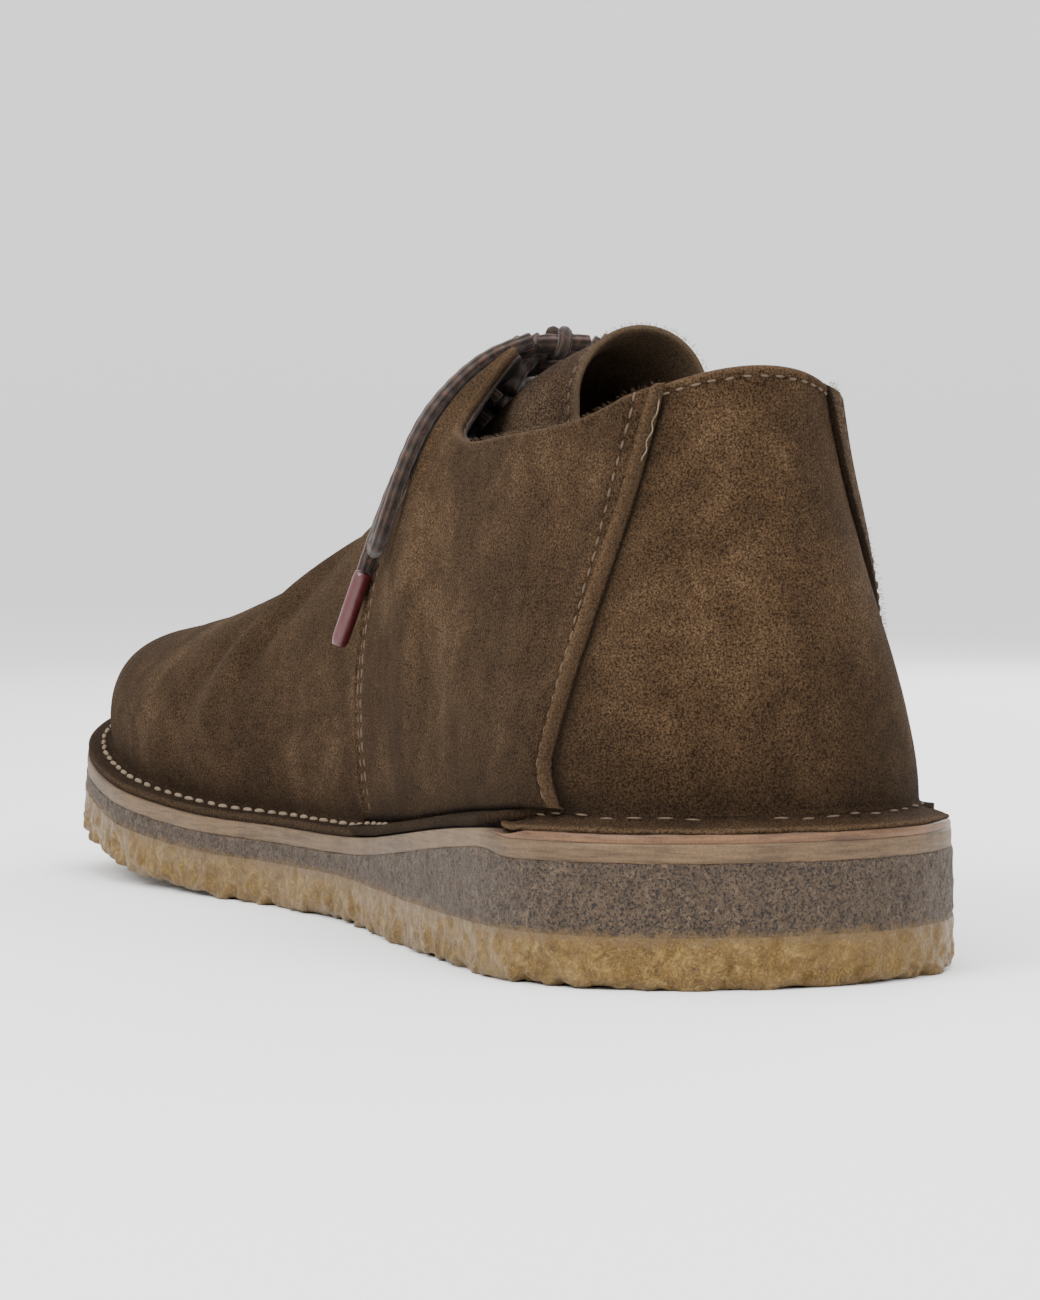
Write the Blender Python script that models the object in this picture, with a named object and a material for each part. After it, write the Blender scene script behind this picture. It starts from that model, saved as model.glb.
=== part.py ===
"""Derby shoe, right foot: a suede stitch-down upper on a wedge of crepe rubber.

The upper is one hollow shell, drawn by a profile at each station round the foot,
from the edge of the sole up to the topline, the facings or the ridge of the vamp.
The sole is built from layers that share one outline.  Sizes are in millimetres in
the shoe's own directions: s forward from the back of the heel, w towards the inner
(medial) side of the foot and z up from the floor.  place() turns them into metres.
"""
import math
from collections import namedtuple

import bmesh
import bpy
import numpy as np
from mathutils import Vector

MM = 0.001
GAP = 0.3                 # between pieces that touch

# ---------------------------------------------------------------- sole sizes
LENGTH = 300.0            # of the sole, heel to toe
HEEL_RADIUS = 41.0        # of the heel's round end
HEEL_POWERS = {1: 2.4, -1: 2.0}          # the heel's inner corner is squarer than its outer one
TOE_START = 212.0         # where the toe begins to round
TOE_POWER = 2.2
SPRING_START = 180.0      # the tread is flat behind this
TOE_SPRING = 17.0
SPRING_POWER = 1.8
CREPE_HEEL = 21.3         # both crepe layers, under the heel
CREPE_FORE = 12.0         # and under the forefoot
WEDGE_START, WEDGE_END = 15.0, 145.0
SHEET = 8.2               # the lower crepe sheet alone
SEAT_DROP = 1.5           # the heel seat is lower, to take the rand
SEAT_START, SEAT_END = 25.0, 37.0
MIDSOLE = 2.7
FLANGE = 1.7              # turned-out edge of the upper, sewn to the midsole
RAND = 1.9
RAND_RISE = 1.8           # its top climbs inward to the upper
RAND_END = 32.0
RAND_INNER = 8.2          # its inner edge, in from the sole's edge
INSOLE = 3.4
INSOLE_INSET = 8.7
RAND_FILLET, FLANGE_FILLET = 1.2, 1.8        # where the wall springs from each
CREPE_ROUND = 1.6         # height of the crepe's softened lower edge
STATIONS = 40             # along a sole layer

# ---------------------------------------------------------------- lacing sizes
CORD = 2.9                # thickness of the round lace
HOLE = 4.4                # punched in the facings, for the lace
HOLE_BACK = 7.0           # from the facing's edge to a hole's middle
HOLE_ROWS = (142.0, 128.0, 115.0)            # crest stations, lowest first
AGLET = (3.3, 14.0)       # thickness and length of the lace tips
CORD_SIDES = 8
TONGUE = 2.0              # thickness

# ---------------------------------------------------------------- upper sizes
WALL = 2.0                # suede and lining
OVERLAY = 1.6             # the quarters lie on the vamp and the counter
COUNTER_SEAM = 32.0       # station of the quarter's rear edge at the base
VAMP_SEAM = 128.0         # and of its front edge
SEAM_WIDTH = 0.5
BASE_INSET = 5.8          # from the sole's edge in to the wall
FLANGE_INSET = 0.8
RINGS = 9                 # faces up the wall

# The sole's outline: its centre line's swing to the inner side and its half width,
# before the heel and toe are rounded.
SoleRow = namedtuple("SoleRow", "station centre half_width")
SOLE = [
    SoleRow(0, 0.4, 40.9),
    SoleRow(55, 0.7, 40.7),
    SoleRow(90, -0.2, 40.2),
    SoleRow(125, -2.2, 39.8),
    SoleRow(160, -2.8, 43.6),
    SoleRow(200, -0.2, 50.7),
    SoleRow(235, 3.6, 54.3),
    SoleRow(265, 9.0, 54.5),
    SoleRow(300, 15.0, 52.0),
]

# The upper's upper edge along the foot: topline, then facing, then ridge.
CrestRow = namedtuple("CrestRow", "station half_width height")
CREST = [
    CrestRow(15.5, 24.0, 98.0),
    CrestRow(26, 24.0, 94.4),
    CrestRow(40, 24.4, 89.5),
    CrestRow(52, 25.2, 87.9),
    CrestRow(66, 26.1, 86.8),
    CrestRow(82, 26.6, 85.9),
    CrestRow(97, 24.4, 88.2),
    CrestRow(107, 11.0, 102.0),
    CrestRow(114, 9.0, 100.2),
    CrestRow(150, 6.5, 86.5),
    CrestRow(165, 6.5, 80.5),
    CrestRow(200, 6.5, 66.0),
    CrestRow(228, 6.5, 57.5),
    CrestRow(249, 6.5, 52.5),
    CrestRow(262, 6.5, 49.5),
]
COLLAR_BACK, COLLAR_CENTRE = 15.5, 62.0      # ends of the collar's rear half ellipse
THROAT_END, THROAT_ROUND = 156.0, 6.0        # the facings close in a half ellipse
TOE_SWING = 6.5           # of the crest at the toe, towards the inner side
TOE_CAP_START, TOE_CAP_SLOPE = 258.0, -0.26  # the ridge's last slope

# The profile at each station of the base: where its crest is, how far the wall
# leans out at the base, its angle from upright at the crest and the two pulls of
# its curve, as shares of the chord.
ProfileRow = namedtuple("ProfileRow", "station crest lean crest_angle base_pull crest_pull")
PROFILES = [
    ProfileRow(0, 15.5, 4, 9, 0.36, 0.32),
    ProfileRow(18, 18.2, 0, 10, 0.30, 0.32),
    ProfileRow(32, 23.5, -1, 11, 0.27, 0.32),
    ProfileRow(54, 44.0, 2, 12, 0.32, 0.30),
    ProfileRow(86, 82.0, 8, 22, 0.38, 0.28),
    ProfileRow(98, 97.0, 9, 36, 0.42, 0.28),
    ProfileRow(106, 107.0, 9, 58, 0.44, 0.34),
    ProfileRow(128, 150.0, 10, 68, 0.44, 0.38),
    ProfileRow(134, 158.0, 10, 88, 0.44, 0.40),
    ProfileRow(160, 176.0, 12, 90, 0.42, 0.42),
    ProfileRow(200, 203.0, 14, 90, 0.40, 0.46),
    ProfileRow(240, 229.0, 13, 90, 0.42, 0.46),
    ProfileRow(270, 248.0, 10, 90, 0.46, 0.46),
    ProfileRow(300, 262.0, 8, 90, 0.50, 0.46),
]

# The tongue's sections, from under the vamp to its free end: station and height of
# the ridge of its outer face, how far the section leans back from upright, the
# radius that it is bent to and half the angle that it covers.
TongueRow = namedtuple("TongueRow", "station height lean radius half_angle")
TONGUE_ROWS = [
    TongueRow(170, 75.0, 24, 26, 26),
    TongueRow(160, 78.2, 24, 25, 27),
    TongueRow(150, 82.1, 24, 22, 33),
    TongueRow(138, 87.4, 24, 19.5, 46),
    TongueRow(126, 93.0, 23, 18, 66),
    TongueRow(114, 97.6, 18, 16.5, 92),
    TongueRow(105, 100.8, 11, 14.6, 118),
    TongueRow(98, 103.3, 6, 13.2, 132),
    TongueRow(92, 105.4, 2, 12.6, 134),
    TongueRow(89.2, 106.3, 0, 12.6, 124),
    TongueRow(88.2, 106.6, 0, 12.6, 108),
]
TONGUE_SIDEWAYS = -5.5    # its free end leans to the outer side

# Routes of the bow over the quarters: crest station and distance down from the
# facing's edge.  The loops start and end at the knot, the ends finish in a tip.
LOOP_ROUTE = ((111.5, 4), (109.5, 13), (107, 21), (105.2, 27.7), (105.2, 34.6), (110, 41.6),
              (121.6, 39.2), (126.8, 32.2), (125.2, 25.6), (121.3, 18), (116, 8))
END_ROUTE = ((120.5, 3.5), (122.5, 9.5), (126.5, 17), (133, 24), (140, 31), (146, 38))
KNOT_STATION, KNOT_HALF_LENGTH, KNOT_RADIUS = 115.0, 5.0, 2.9
CORD_STEP, CORD_EASING = 0.35, 120    # the bends of a loose cord are eased to over 2 diameters


# ---------------------------------------------------------------- small maths
def smooth(rows, column, station):
    """Read a table's column at a station, along a smooth curve through its rows."""
    xs = [row.station for row in rows]
    ys = [getattr(row, column) for row in rows]
    station = min(max(station, xs[0]), xs[-1])
    i = min(max(int(np.searchsorted(xs, station, side="right")) - 1, 0), len(xs) - 2)
    steps = [(ys[k + 1] - ys[k]) / (xs[k + 1] - xs[k]) for k in range(len(xs) - 1)]

    def tangent(k):
        """Slope at row k: the harmonic mean of its neighbours', so nothing overshoots."""
        if k == 0 or k == len(xs) - 1:
            return steps[0] if k == 0 else steps[-1]
        if steps[k - 1] * steps[k] <= 0:
            return 0.0
        return 2 * steps[k - 1] * steps[k] / (steps[k - 1] + steps[k])

    h = xs[i + 1] - xs[i]
    q = (station - xs[i]) / h
    return (ys[i] * (1 + 2 * q) * (1 - q) ** 2 + ys[i + 1] * q * q * (3 - 2 * q)
            + h * tangent(i) * q * (1 - q) ** 2 - h * tangent(i + 1) * q * q * (1 - q))


def ramp(value, start, end):
    """0 before start, 1 after end and a smooth step between."""
    q = min(max((value - start) / (end - start), 0.0), 1.0)
    return q * q * (3 - 2 * q)


def mix(a, b, share):
    """The value a share of the way from a to b."""
    return a + (b - a) * share


# ---------------------------------------------------------------- sole heights
def tread(s):
    """Underside of the crepe: flat, then lifting to the toe."""
    run = max(s - SPRING_START, 0.0) / (LENGTH - SPRING_START)
    return TOE_SPRING * run ** SPRING_POWER


def sheet_top(s):
    """Top of the lower crepe sheet."""
    return tread(s) + SHEET


def crepe_top(s):
    """Top of the crepe wedge."""
    depth = mix(CREPE_HEEL, CREPE_FORE, ramp(s, WEDGE_START, WEDGE_END))
    return tread(s) + depth - SEAT_DROP * (1 - ramp(s, SEAT_START, SEAT_END))


def midsole_top(s):
    """Top of the leather midsole."""
    return crepe_top(s) + GAP + MIDSOLE


def base_height(s):
    """Where the upper's wall starts: on the rand's rise, or at the flange's inner edge."""
    on_rand = midsole_top(s) + GAP + RAND + RAND_RISE + RAND_FILLET
    on_flange = midsole_top(s) + GAP + FLANGE + FLANGE_FILLET
    return mix(on_rand, on_flange, ramp(s, SEAT_START, SEAT_END))


# ---------------------------------------------------------------- plan outline
def edge_point(t, side, inset=0.0):
    """A point of the sole's outline.

    t runs from 0 at the back of the heel to 1 at the tip of the toe, and side is
    +1 on the inner side and -1 on the outer.  inset moves it in from the edge.
    """
    def raw(t, side):
        s = LENGTH * (1 - math.cos(math.pi * t)) / 2
        heel = max(1 - s / HEEL_RADIUS, 0.0)
        toe = max((s - TOE_START) / (LENGTH - TOE_START), 0.0)
        power = HEEL_POWERS[side]
        end = max(1 - heel ** power, 0.0) ** (1 / power) * math.sqrt(max(1 - toe ** TOE_POWER, 0.0))
        swing = smooth(SOLE, "centre", s)
        return np.array([s, swing + side * end * smooth(SOLE, "half_width", s)])

    point = raw(t, side)
    if inset == 0.0:
        return point
    step = 1e-3
    if t < step:
        normal = np.array([-1.0, 0.0])
    elif t > 1 - step:
        normal = np.array([1.0, 0.0])
    else:
        along = raw(t + step, side) - raw(t - step, side)
        normal = np.array([-along[1], along[0]]) * side / np.hypot(*along)
    return point - normal * inset


def outline_middle():
    """Centre of the outline's box, which is the origin's place in plan."""
    points = [edge_point(t, side) for t in np.linspace(0, 1, 201) for side in (1, -1)]
    return (np.min(points, axis=0) + np.max(points, axis=0)) / 2


MIDDLE = outline_middle()


def place(point):
    """Shoe millimetres (s, w, z) to metres about the origin."""
    s, w, z = point
    return Vector(((s - MIDDLE[0]) * MM, (w - MIDDLE[1]) * MM, z * MM))


# ---------------------------------------------------------------- the upper's surface
def station_of(t):
    """Station of the outline's point at t."""
    return LENGTH * (1 - math.cos(math.pi * t)) / 2


def share_of(s):
    """The t whose outline point is at station s."""
    return math.acos(1 - 2 * s / LENGTH) / math.pi


def crest_half(s):
    """Half width between the two crests at a station of the crest."""
    if s < COLLAR_CENTRE:
        q = (COLLAR_CENTRE - s) / (COLLAR_CENTRE - COLLAR_BACK)
        return smooth(CREST, "half_width", s) * math.sqrt(max(1 - q * q, 0.0))
    if s > THROAT_END - THROAT_ROUND:
        q = (s - THROAT_END + THROAT_ROUND) / THROAT_ROUND
        return smooth(CREST, "half_width", s) * math.sqrt(max(1 - q * q, 0.0))
    return smooth(CREST, "half_width", s)


def crest_centre(s):
    """Swing of the crest's middle: with the sole at the toe, and none behind."""
    return mix(0.0, TOE_SWING, ramp(s, THROAT_END - THROAT_ROUND, LENGTH))


def upper_profile(t, side):
    """The four control points of the wall's curve, base to crest."""
    s = station_of(t)
    base_plan = edge_point(t, side, BASE_INSET)
    base = np.array([*base_plan, base_height(s)])
    cs = smooth(PROFILES, "crest", s)
    crest = np.array([cs, crest_centre(cs) + side * crest_half(cs), smooth(CREST, "height", cs)])
    chord = np.linalg.norm(crest - base)
    lean = math.radians(smooth(PROFILES, "lean", s))
    out = edge_point(t, side) - base_plan
    out = out / np.hypot(*out)
    start = np.array([*(out * math.sin(lean)), math.cos(lean)])
    angle = math.radians(smooth(PROFILES, "crest_angle", s))
    away = base[:2] - crest[:2]
    away = away / np.hypot(*away)
    ridge = (smooth(CREST, "height", cs + 2) - smooth(CREST, "height", cs - 2)) / 4
    if cs > TOE_CAP_START:
        ridge = TOE_CAP_SLOPE
    fall = -math.cos(angle) + away[0] * math.sin(angle) * ridge * ramp(s, 100, 150)
    end = np.array([*(away * math.sin(angle)), fall])
    return (base, base + start * chord * smooth(PROFILES, "base_pull", s),
            crest + end * chord * smooth(PROFILES, "crest_pull", s), crest)


def on_profile(points, v):
    """A point of a profile's curve, v from 0 at the base to 1 at the crest."""
    a, b, c, d = points
    u = 1 - v
    return a * u ** 3 + 3 * b * u * u * v + 3 * c * u * v * v + d * v ** 3


def crest_share(crest):
    """The t of the column whose crest is at a station."""
    shares = np.linspace(0, 1, 601)
    crests = [smooth(PROFILES, "crest", station_of(t)) for t in shares]
    return float(np.interp(crest, crests, shares))


def wall_point(crest, side, down, lift):
    """A point off the wall's surface, and the outward normal there.

    crest is the station of the column's crest, down the distance from it down the
    wall and lift the height above the surface.
    """
    t = crest_share(crest)
    here = upper_profile(t, side)
    v = 1.0
    while v > 0.02 and np.linalg.norm(on_profile(here, v) - here[3]) < down:
        v -= 0.005
    point = on_profile(here, v)
    up = on_profile(here, min(v + 0.01, 1.0)) - on_profile(here, v - 0.01)
    ahead = on_profile(upper_profile(t + 0.004, side), v) - on_profile(upper_profile(t - 0.004, side), v)
    normal = np.cross(ahead, up) * side * -1.0
    normal = normal / np.linalg.norm(normal)
    if normal[2] < 0 and normal[1] * side < 0:
        normal = -normal
    return point + normal * lift, normal


def upper_columns():
    """The t of each column of the wall and whether the quarter's overlay lies there.

    Each seam is two columns SEAM_WIDTH apart, one low and one raised.
    """
    bands = [(0.0, COUNTER_SEAM, 9, False),
             (COUNTER_SEAM + SEAM_WIDTH, VAMP_SEAM, 15, True),
             (VAMP_SEAM + SEAM_WIDTH, LENGTH, 15, False)]
    columns = []
    for start, end, count, raised in bands:
        for t in np.linspace(share_of(start), share_of(end), count):
            columns.append((float(t), raised))
    return columns


# ---------------------------------------------------------------- making meshes
def finish(name, bm, material, smooth_angle=40.0):
    """Turn a bmesh in shoe millimetres into a named object in metres."""
    for vert in bm.verts:
        vert.co = place(vert.co)
    bmesh.ops.recalc_face_normals(bm, faces=bm.faces)
    mesh = bpy.data.meshes.new(name)
    bm.to_mesh(mesh)
    bm.free()
    mesh.materials.append(material)
    mesh.shade_smooth()
    mesh.set_sharp_from_angle(angle=math.radians(smooth_angle))
    item = bpy.data.objects.new(name, mesh)
    bpy.context.scene.collection.objects.link(item)
    return item


def finish_material(name, colour, roughness, metallic=0.0):
    """A plain Principled material."""
    material = bpy.data.materials.new(name)
    material.use_nodes = True
    shader = material.node_tree.nodes["Principled BSDF"]
    shader.inputs["Base Color"].default_value = (*colour, 1.0)
    shader.inputs["Roughness"].default_value = roughness
    shader.inputs["Metallic"].default_value = metallic
    return material


def curve_through(points, spacing):
    """Points every spacing or so along a smooth curve through the given ones."""
    points = [np.array(point, dtype=float) for point in points]
    first = 2 * points[0] - points[1]
    final = 2 * points[-1] - points[-2]
    padded = [first] + points + [final]
    path = [points[0]]
    for a, b, c, d in zip(padded, padded[1:], padded[2:], padded[3:]):
        count = max(int(round(np.linalg.norm(c - b) / spacing)), 1)
        for k in range(1, count + 1):
            q = k / count
            path.append(0.5 * (2 * b + (c - a) * q + (2 * a - 5 * b + 4 * c - d) * q * q
                               + (3 * b - a - 3 * c + d) * q ** 3))
    return path


def cord(name, points, material, thickness=CORD, spacing=3.0):
    """A cord as a bevelled POLY curve with filled caps, its bends eased."""
    path = np.array(curve_through(points, CORD_STEP))
    for _ in range(CORD_EASING):
        path[1:-1] = (path[:-2] + 2 * path[1:-1] + path[2:]) / 4
    count = round(np.linalg.norm(np.diff(path, axis=0), axis=1).sum() / spacing)
    path = path[np.linspace(0, len(path) - 1, count + 1).round().astype(int)]
    data = bpy.data.curves.new(name, "CURVE")
    data.dimensions = "3D"
    data.bevel_depth = thickness / 2 * MM
    data.bevel_resolution = 2
    data.use_fill_caps = True
    spline = data.splines.new("POLY")
    spline.points.add(len(path) - 1)
    for target, point in zip(spline.points, path):
        target.co = (*place(point), 1.0)
    data.materials.append(material)
    item = bpy.data.objects.new(name, data)
    bpy.context.scene.collection.objects.link(item)
    return item


def rod(name, points, radii, material, sides=CORD_SIDES, spacing=4.0):
    """A closed mesh tube through the points, with its radius at each of them."""
    path = curve_through(points, spacing)
    along = np.linspace(0, 1, len(path))
    given = np.linspace(0, 1, len(radii))
    bm = bmesh.new()
    rings = []
    normal = Vector((0, 0, 1))
    for k, point in enumerate(path):
        tangent = Vector(path[min(k + 1, len(path) - 1)] - path[max(k - 1, 0)]).normalized()
        normal = (normal - tangent * normal.dot(tangent)).normalized()
        across = tangent.cross(normal)
        radius = float(np.interp(along[k], given, radii))
        ring = []
        for a in range(sides):
            angle = math.tau * a / sides
            offset = normal * math.cos(angle) * radius + across * math.sin(angle) * radius
            ring.append(bm.verts.new(Vector(point) + offset))
        rings.append(ring)
    for a, b in zip(rings, rings[1:]):
        for i in range(sides):
            j = (i + 1) % sides
            bm.faces.new((a[i], a[j], b[j], b[i]))
    bm.faces.new(rings[0])
    bm.faces.new(rings[-1])
    return finish(name, bm, material)


def boolean(target, tool, operation):
    """Add an exact Boolean to target, with tool hidden as its cutter or addition."""
    tool.hide_render = True
    tool.display_type = "WIRE"
    modifier = target.modifiers.new(tool.name, "BOOLEAN")
    modifier.operation = operation
    modifier.solver = "EXACT"
    modifier.object = tool


def layer(name, levels, material, start=0.0, end=1.0):
    """A layer of the sole: rings of the outline, one for each (inset, height) level.

    height is a function of the station, and the first and last rings are capped by
    strips across the sole.
    """
    bm = bmesh.new()
    shares = np.linspace(start, end, STATIONS + 1)
    rings = []
    for inset, height in levels:
        ring = {}
        for side in (1, -1):
            for i, t in enumerate(shares):
                if side == -1 and i in (0, STATIONS):
                    ring[side, i] = ring[1, i]
                    continue
                s, w = edge_point(t, side, inset)
                ring[side, i] = bm.verts.new((s, w, height(s)))
        rings.append(ring)
    for lower, upper in zip(rings, rings[1:]):
        for side in (1, -1):
            for i in range(STATIONS):
                bm.faces.new((lower[side, i], lower[side, i + 1],
                              upper[side, i + 1], upper[side, i]))
    for ring in (rings[0], rings[-1]):
        for i in range(STATIONS):
            corners = []
            for vert in (ring[1, i], ring[1, i + 1], ring[-1, i + 1], ring[-1, i]):
                if vert not in corners:
                    corners.append(vert)
            bm.faces.new(corners)
    return finish(name, bm, material)


# ---------------------------------------------------------------- the pieces
def make_sole(crepe, smoked, leather):
    """The two crepe layers and the leather midsole."""
    layer("crepe_outsole", [(2.2, tread), (0.2, lambda s: tread(s) + CREPE_ROUND),
                            (0.5, lambda s: sheet_top(s) - 0.8),
                            (1.2, sheet_top)], crepe)
    layer("crepe_wedge", [(1.2, lambda s: sheet_top(s) + GAP),
                          (0.6, lambda s: sheet_top(s) + GAP + 0.7),
                          (0.7, crepe_top)], smoked)
    layer("midsole", [(0.6, lambda s: crepe_top(s) + GAP), (0.6, midsole_top)], leather)


def make_rand(leather):
    """The heel rand: a wedge-shaped strip round the heel seat, under the upper."""
    bm = bmesh.new()
    count = 14
    last = share_of(RAND_END)
    rows = []
    for k in range(-count, count + 1):
        side = 1 if k >= 0 else -1
        t = last * abs(k) / count
        fade = mix(0.35, 1.0, ramp(count - abs(k), 0, 2))
        row = []
        for inset, over in ((FLANGE_INSET, 0.0), (FLANGE_INSET, RAND * fade),
                            (BASE_INSET - 0.2, (RAND + RAND_RISE) * fade),
                            (RAND_INNER, (RAND + RAND_RISE) * fade), (RAND_INNER, 0.0)):
            s, w = edge_point(t, side, inset)
            row.append(bm.verts.new((s, w, midsole_top(s) + GAP + over)))
        rows.append(row)
    for a, b in zip(rows, rows[1:]):
        for i in range(len(a)):
            j = (i + 1) % len(a)
            bm.faces.new((a[i], a[j], b[j], b[i]))
    bm.faces.new(rows[0])
    bm.faces.new(rows[-1])
    return finish("heel_rand", bm, leather)


def make_insole(leather):
    """The insole, inside the wall and resting on the midsole."""
    def under(s):
        return midsole_top(s) + GAP

    def over(s):
        return midsole_top(s) + GAP + INSOLE

    return layer("insole", [(INSOLE_INSET + 0.2, under), (INSOLE_INSET, lambda s: over(s) - 0.8),
                            (INSOLE_INSET + 0.7, over)], leather)


def reference_surface():
    """The shell's middle form as a bmesh: columns of vertices round both sides.

    Returns the bmesh and a table from (side, column, ring) to its vertex; the two
    sides share the back, the toe and, past the throat, the ridge.
    """
    bm = bmesh.new()
    columns = upper_columns()
    last = len(columns) - 1
    grid = {}
    for side in (1, -1):
        for i, (t, _) in enumerate(columns):
            points = upper_profile(t, side)
            closed = smooth(PROFILES, "crest", station_of(t)) >= THROAT_END
            for j in range(RINGS + 1):
                shared = i in (0, last) or (j == RINGS and closed)
                if side == -1 and shared:
                    grid[side, i, j] = grid[1, i, j]
                else:
                    grid[side, i, j] = bm.verts.new(on_profile(points, j / RINGS))
    for side in (1, -1):
        for i in range(last):
            for j in range(RINGS):
                corners = [grid[side, i, j], grid[side, i + 1, j],
                           grid[side, i + 1, j + 1], grid[side, i, j + 1]]
                bm.faces.new(corners if side == -1 else corners[::-1])
    bm.normal_update()
    return bm, grid, columns


def flange_section(s, t, side, inner):
    """The four lower points of the wall at a column: fillet, top, edge and underside.

    Behind the rand's end they tuck in over the rand, and ahead of it they turn out
    over the midsole.
    """
    out = ramp(s, RAND_END + 0.5, RAND_END + 4.0)
    floor = midsole_top(s) + GAP + mix(RAND + RAND_RISE + GAP, 0.0, out)
    insets = [mix(BASE_INSET - 0.5, BASE_INSET - 1.2, out), mix(BASE_INSET - 0.5, FLANGE_INSET, out),
              mix(BASE_INSET - 0.4, FLANGE_INSET, out)]
    heights = [mix(floor + 1.0, floor + FLANGE + 0.6, out), mix(floor + 0.6, floor + FLANGE - 0.3, out), floor]
    points = []
    for inset, height in zip(insets, heights):
        es, ew = edge_point(t, side, inset)
        points.append((es, ew, height))
    points.append((inner.x, inner.y, floor))
    return points


def make_upper(suede):
    """The upper: one hollow shell, open at the collar, throat and underneath."""
    surface, grid, columns = reference_surface()
    last = len(columns) - 1
    solid = bmesh.new()
    outer, inner = {}, {}
    for (side, i, j), vert in grid.items():
        if side == -1 and vert == grid[1, i, j]:
            outer[side, i, j] = outer[1, i, j]
            inner[side, i, j] = inner[1, i, j]
            continue
        raised = columns[i][1]
        lift = OVERLAY if raised and j > 0 else (OVERLAY * 0.7 if raised else 0.0)
        outer[side, i, j] = solid.verts.new(vert.co + vert.normal * lift)
        inner[side, i, j] = solid.verts.new(vert.co - vert.normal * WALL)
    for side in (1, -1):
        for i in range(last):
            for j in range(RINGS):
                for skin, flip in ((outer, False), (inner, True)):
                    corners = [skin[side, i, j], skin[side, i + 1, j],
                               skin[side, i + 1, j + 1], skin[side, i, j + 1]]
                    solid.faces.new(corners[::-1] if flip else corners)
            rim = (outer[side, i, RINGS], outer[side, i + 1, RINGS],
                   inner[side, i + 1, RINGS], inner[side, i, RINGS])
            open_here = [grid[1, k, RINGS] != grid[-1, k, RINGS] or k == 0 for k in (i, i + 1)]
            if any(open_here):
                solid.faces.new(rim)
    low = {}
    for side in (1, -1):
        for i, (t, _) in enumerate(columns):
            if side == -1 and i in (0, last):
                low[side, i] = low[1, i]
                continue
            section = flange_section(station_of(t), t, side, inner[side, i, 0].co)
            low[side, i] = ([outer[side, i, 0]] + [solid.verts.new(p) for p in section]
                            + [inner[side, i, 0]])
        for i in range(last):
            for a in range(5):
                solid.faces.new((low[side, i][a], low[side, i][a + 1],
                                 low[side, i + 1][a + 1], low[side, i + 1][a]))
    surface.free()
    return finish("upper", solid, suede)


def punch_holes(upper, material):
    """Cut the lace holes through both facings."""
    for row, station in enumerate(HOLE_ROWS):
        for side in (1, -1):
            centre, normal = wall_point(station, side, HOLE_BACK, 0.0)
            cutter = rod(f"hole_cutter_{row}_{side + 1}", [centre - normal * 5, centre + normal * 5],
                         [HOLE / 2, HOLE / 2], material, sides=10, spacing=20.0)
            boolean(upper, cutter, "DIFFERENCE")


def make_tongue(suede):
    """The tongue: a bent sheet from under the vamp up through the throat."""
    bm = bmesh.new()
    across = 16
    skins = []
    for depth in (0.0, TONGUE):
        rows = []
        for row in TONGUE_ROWS:
            lean = math.radians(row.lean)
            inward = np.array([-math.sin(lean), 0.0, -math.cos(lean)])
            swing = TONGUE_SIDEWAYS * ramp(-row.station, -108, -88)
            ridge = np.array([row.station, swing, row.height])
            line = []
            for k in range(across + 1):
                angle = math.radians(row.half_angle) * (2 * k / across - 1)
                turn = min(max(angle, -math.pi / 2), math.pi / 2)
                leg = row.radius * abs(angle - turn)     # past a quarter turn the sides hang straight
                radius = row.radius - depth
                point = (ridge + inward * (row.radius - radius * math.cos(turn) + leg)
                         + np.array([0.0, 1.0, 0.0]) * radius * math.sin(turn))
                line.append(bm.verts.new(point))
            rows.append(line)
        skins.append(rows)
    outer, inner = skins
    last = len(TONGUE_ROWS) - 1
    for i in range(last):
        for k in range(across):
            bm.faces.new((outer[i][k], outer[i][k + 1], outer[i + 1][k + 1], outer[i + 1][k]))
            bm.faces.new((inner[i][k], inner[i + 1][k], inner[i + 1][k + 1], inner[i][k + 1]))
        for k in (0, across):
            bm.faces.new((outer[i][k], outer[i + 1][k], inner[i + 1][k], inner[i][k]))
    for i in (0, last):
        for k in range(across):
            bm.faces.new((outer[i][k], inner[i][k], inner[i][k + 1], outer[i][k + 1]))
    return finish("tongue", bm, suede)


def rim_point(station, side, lift, apart):
    """A point in the gap between the facings, apart from one facing's edge."""
    point, _ = wall_point(station, side, 0.0, lift)
    return point - np.array([0.0, side * (CORD / 2 + apart), 0.0])


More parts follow.
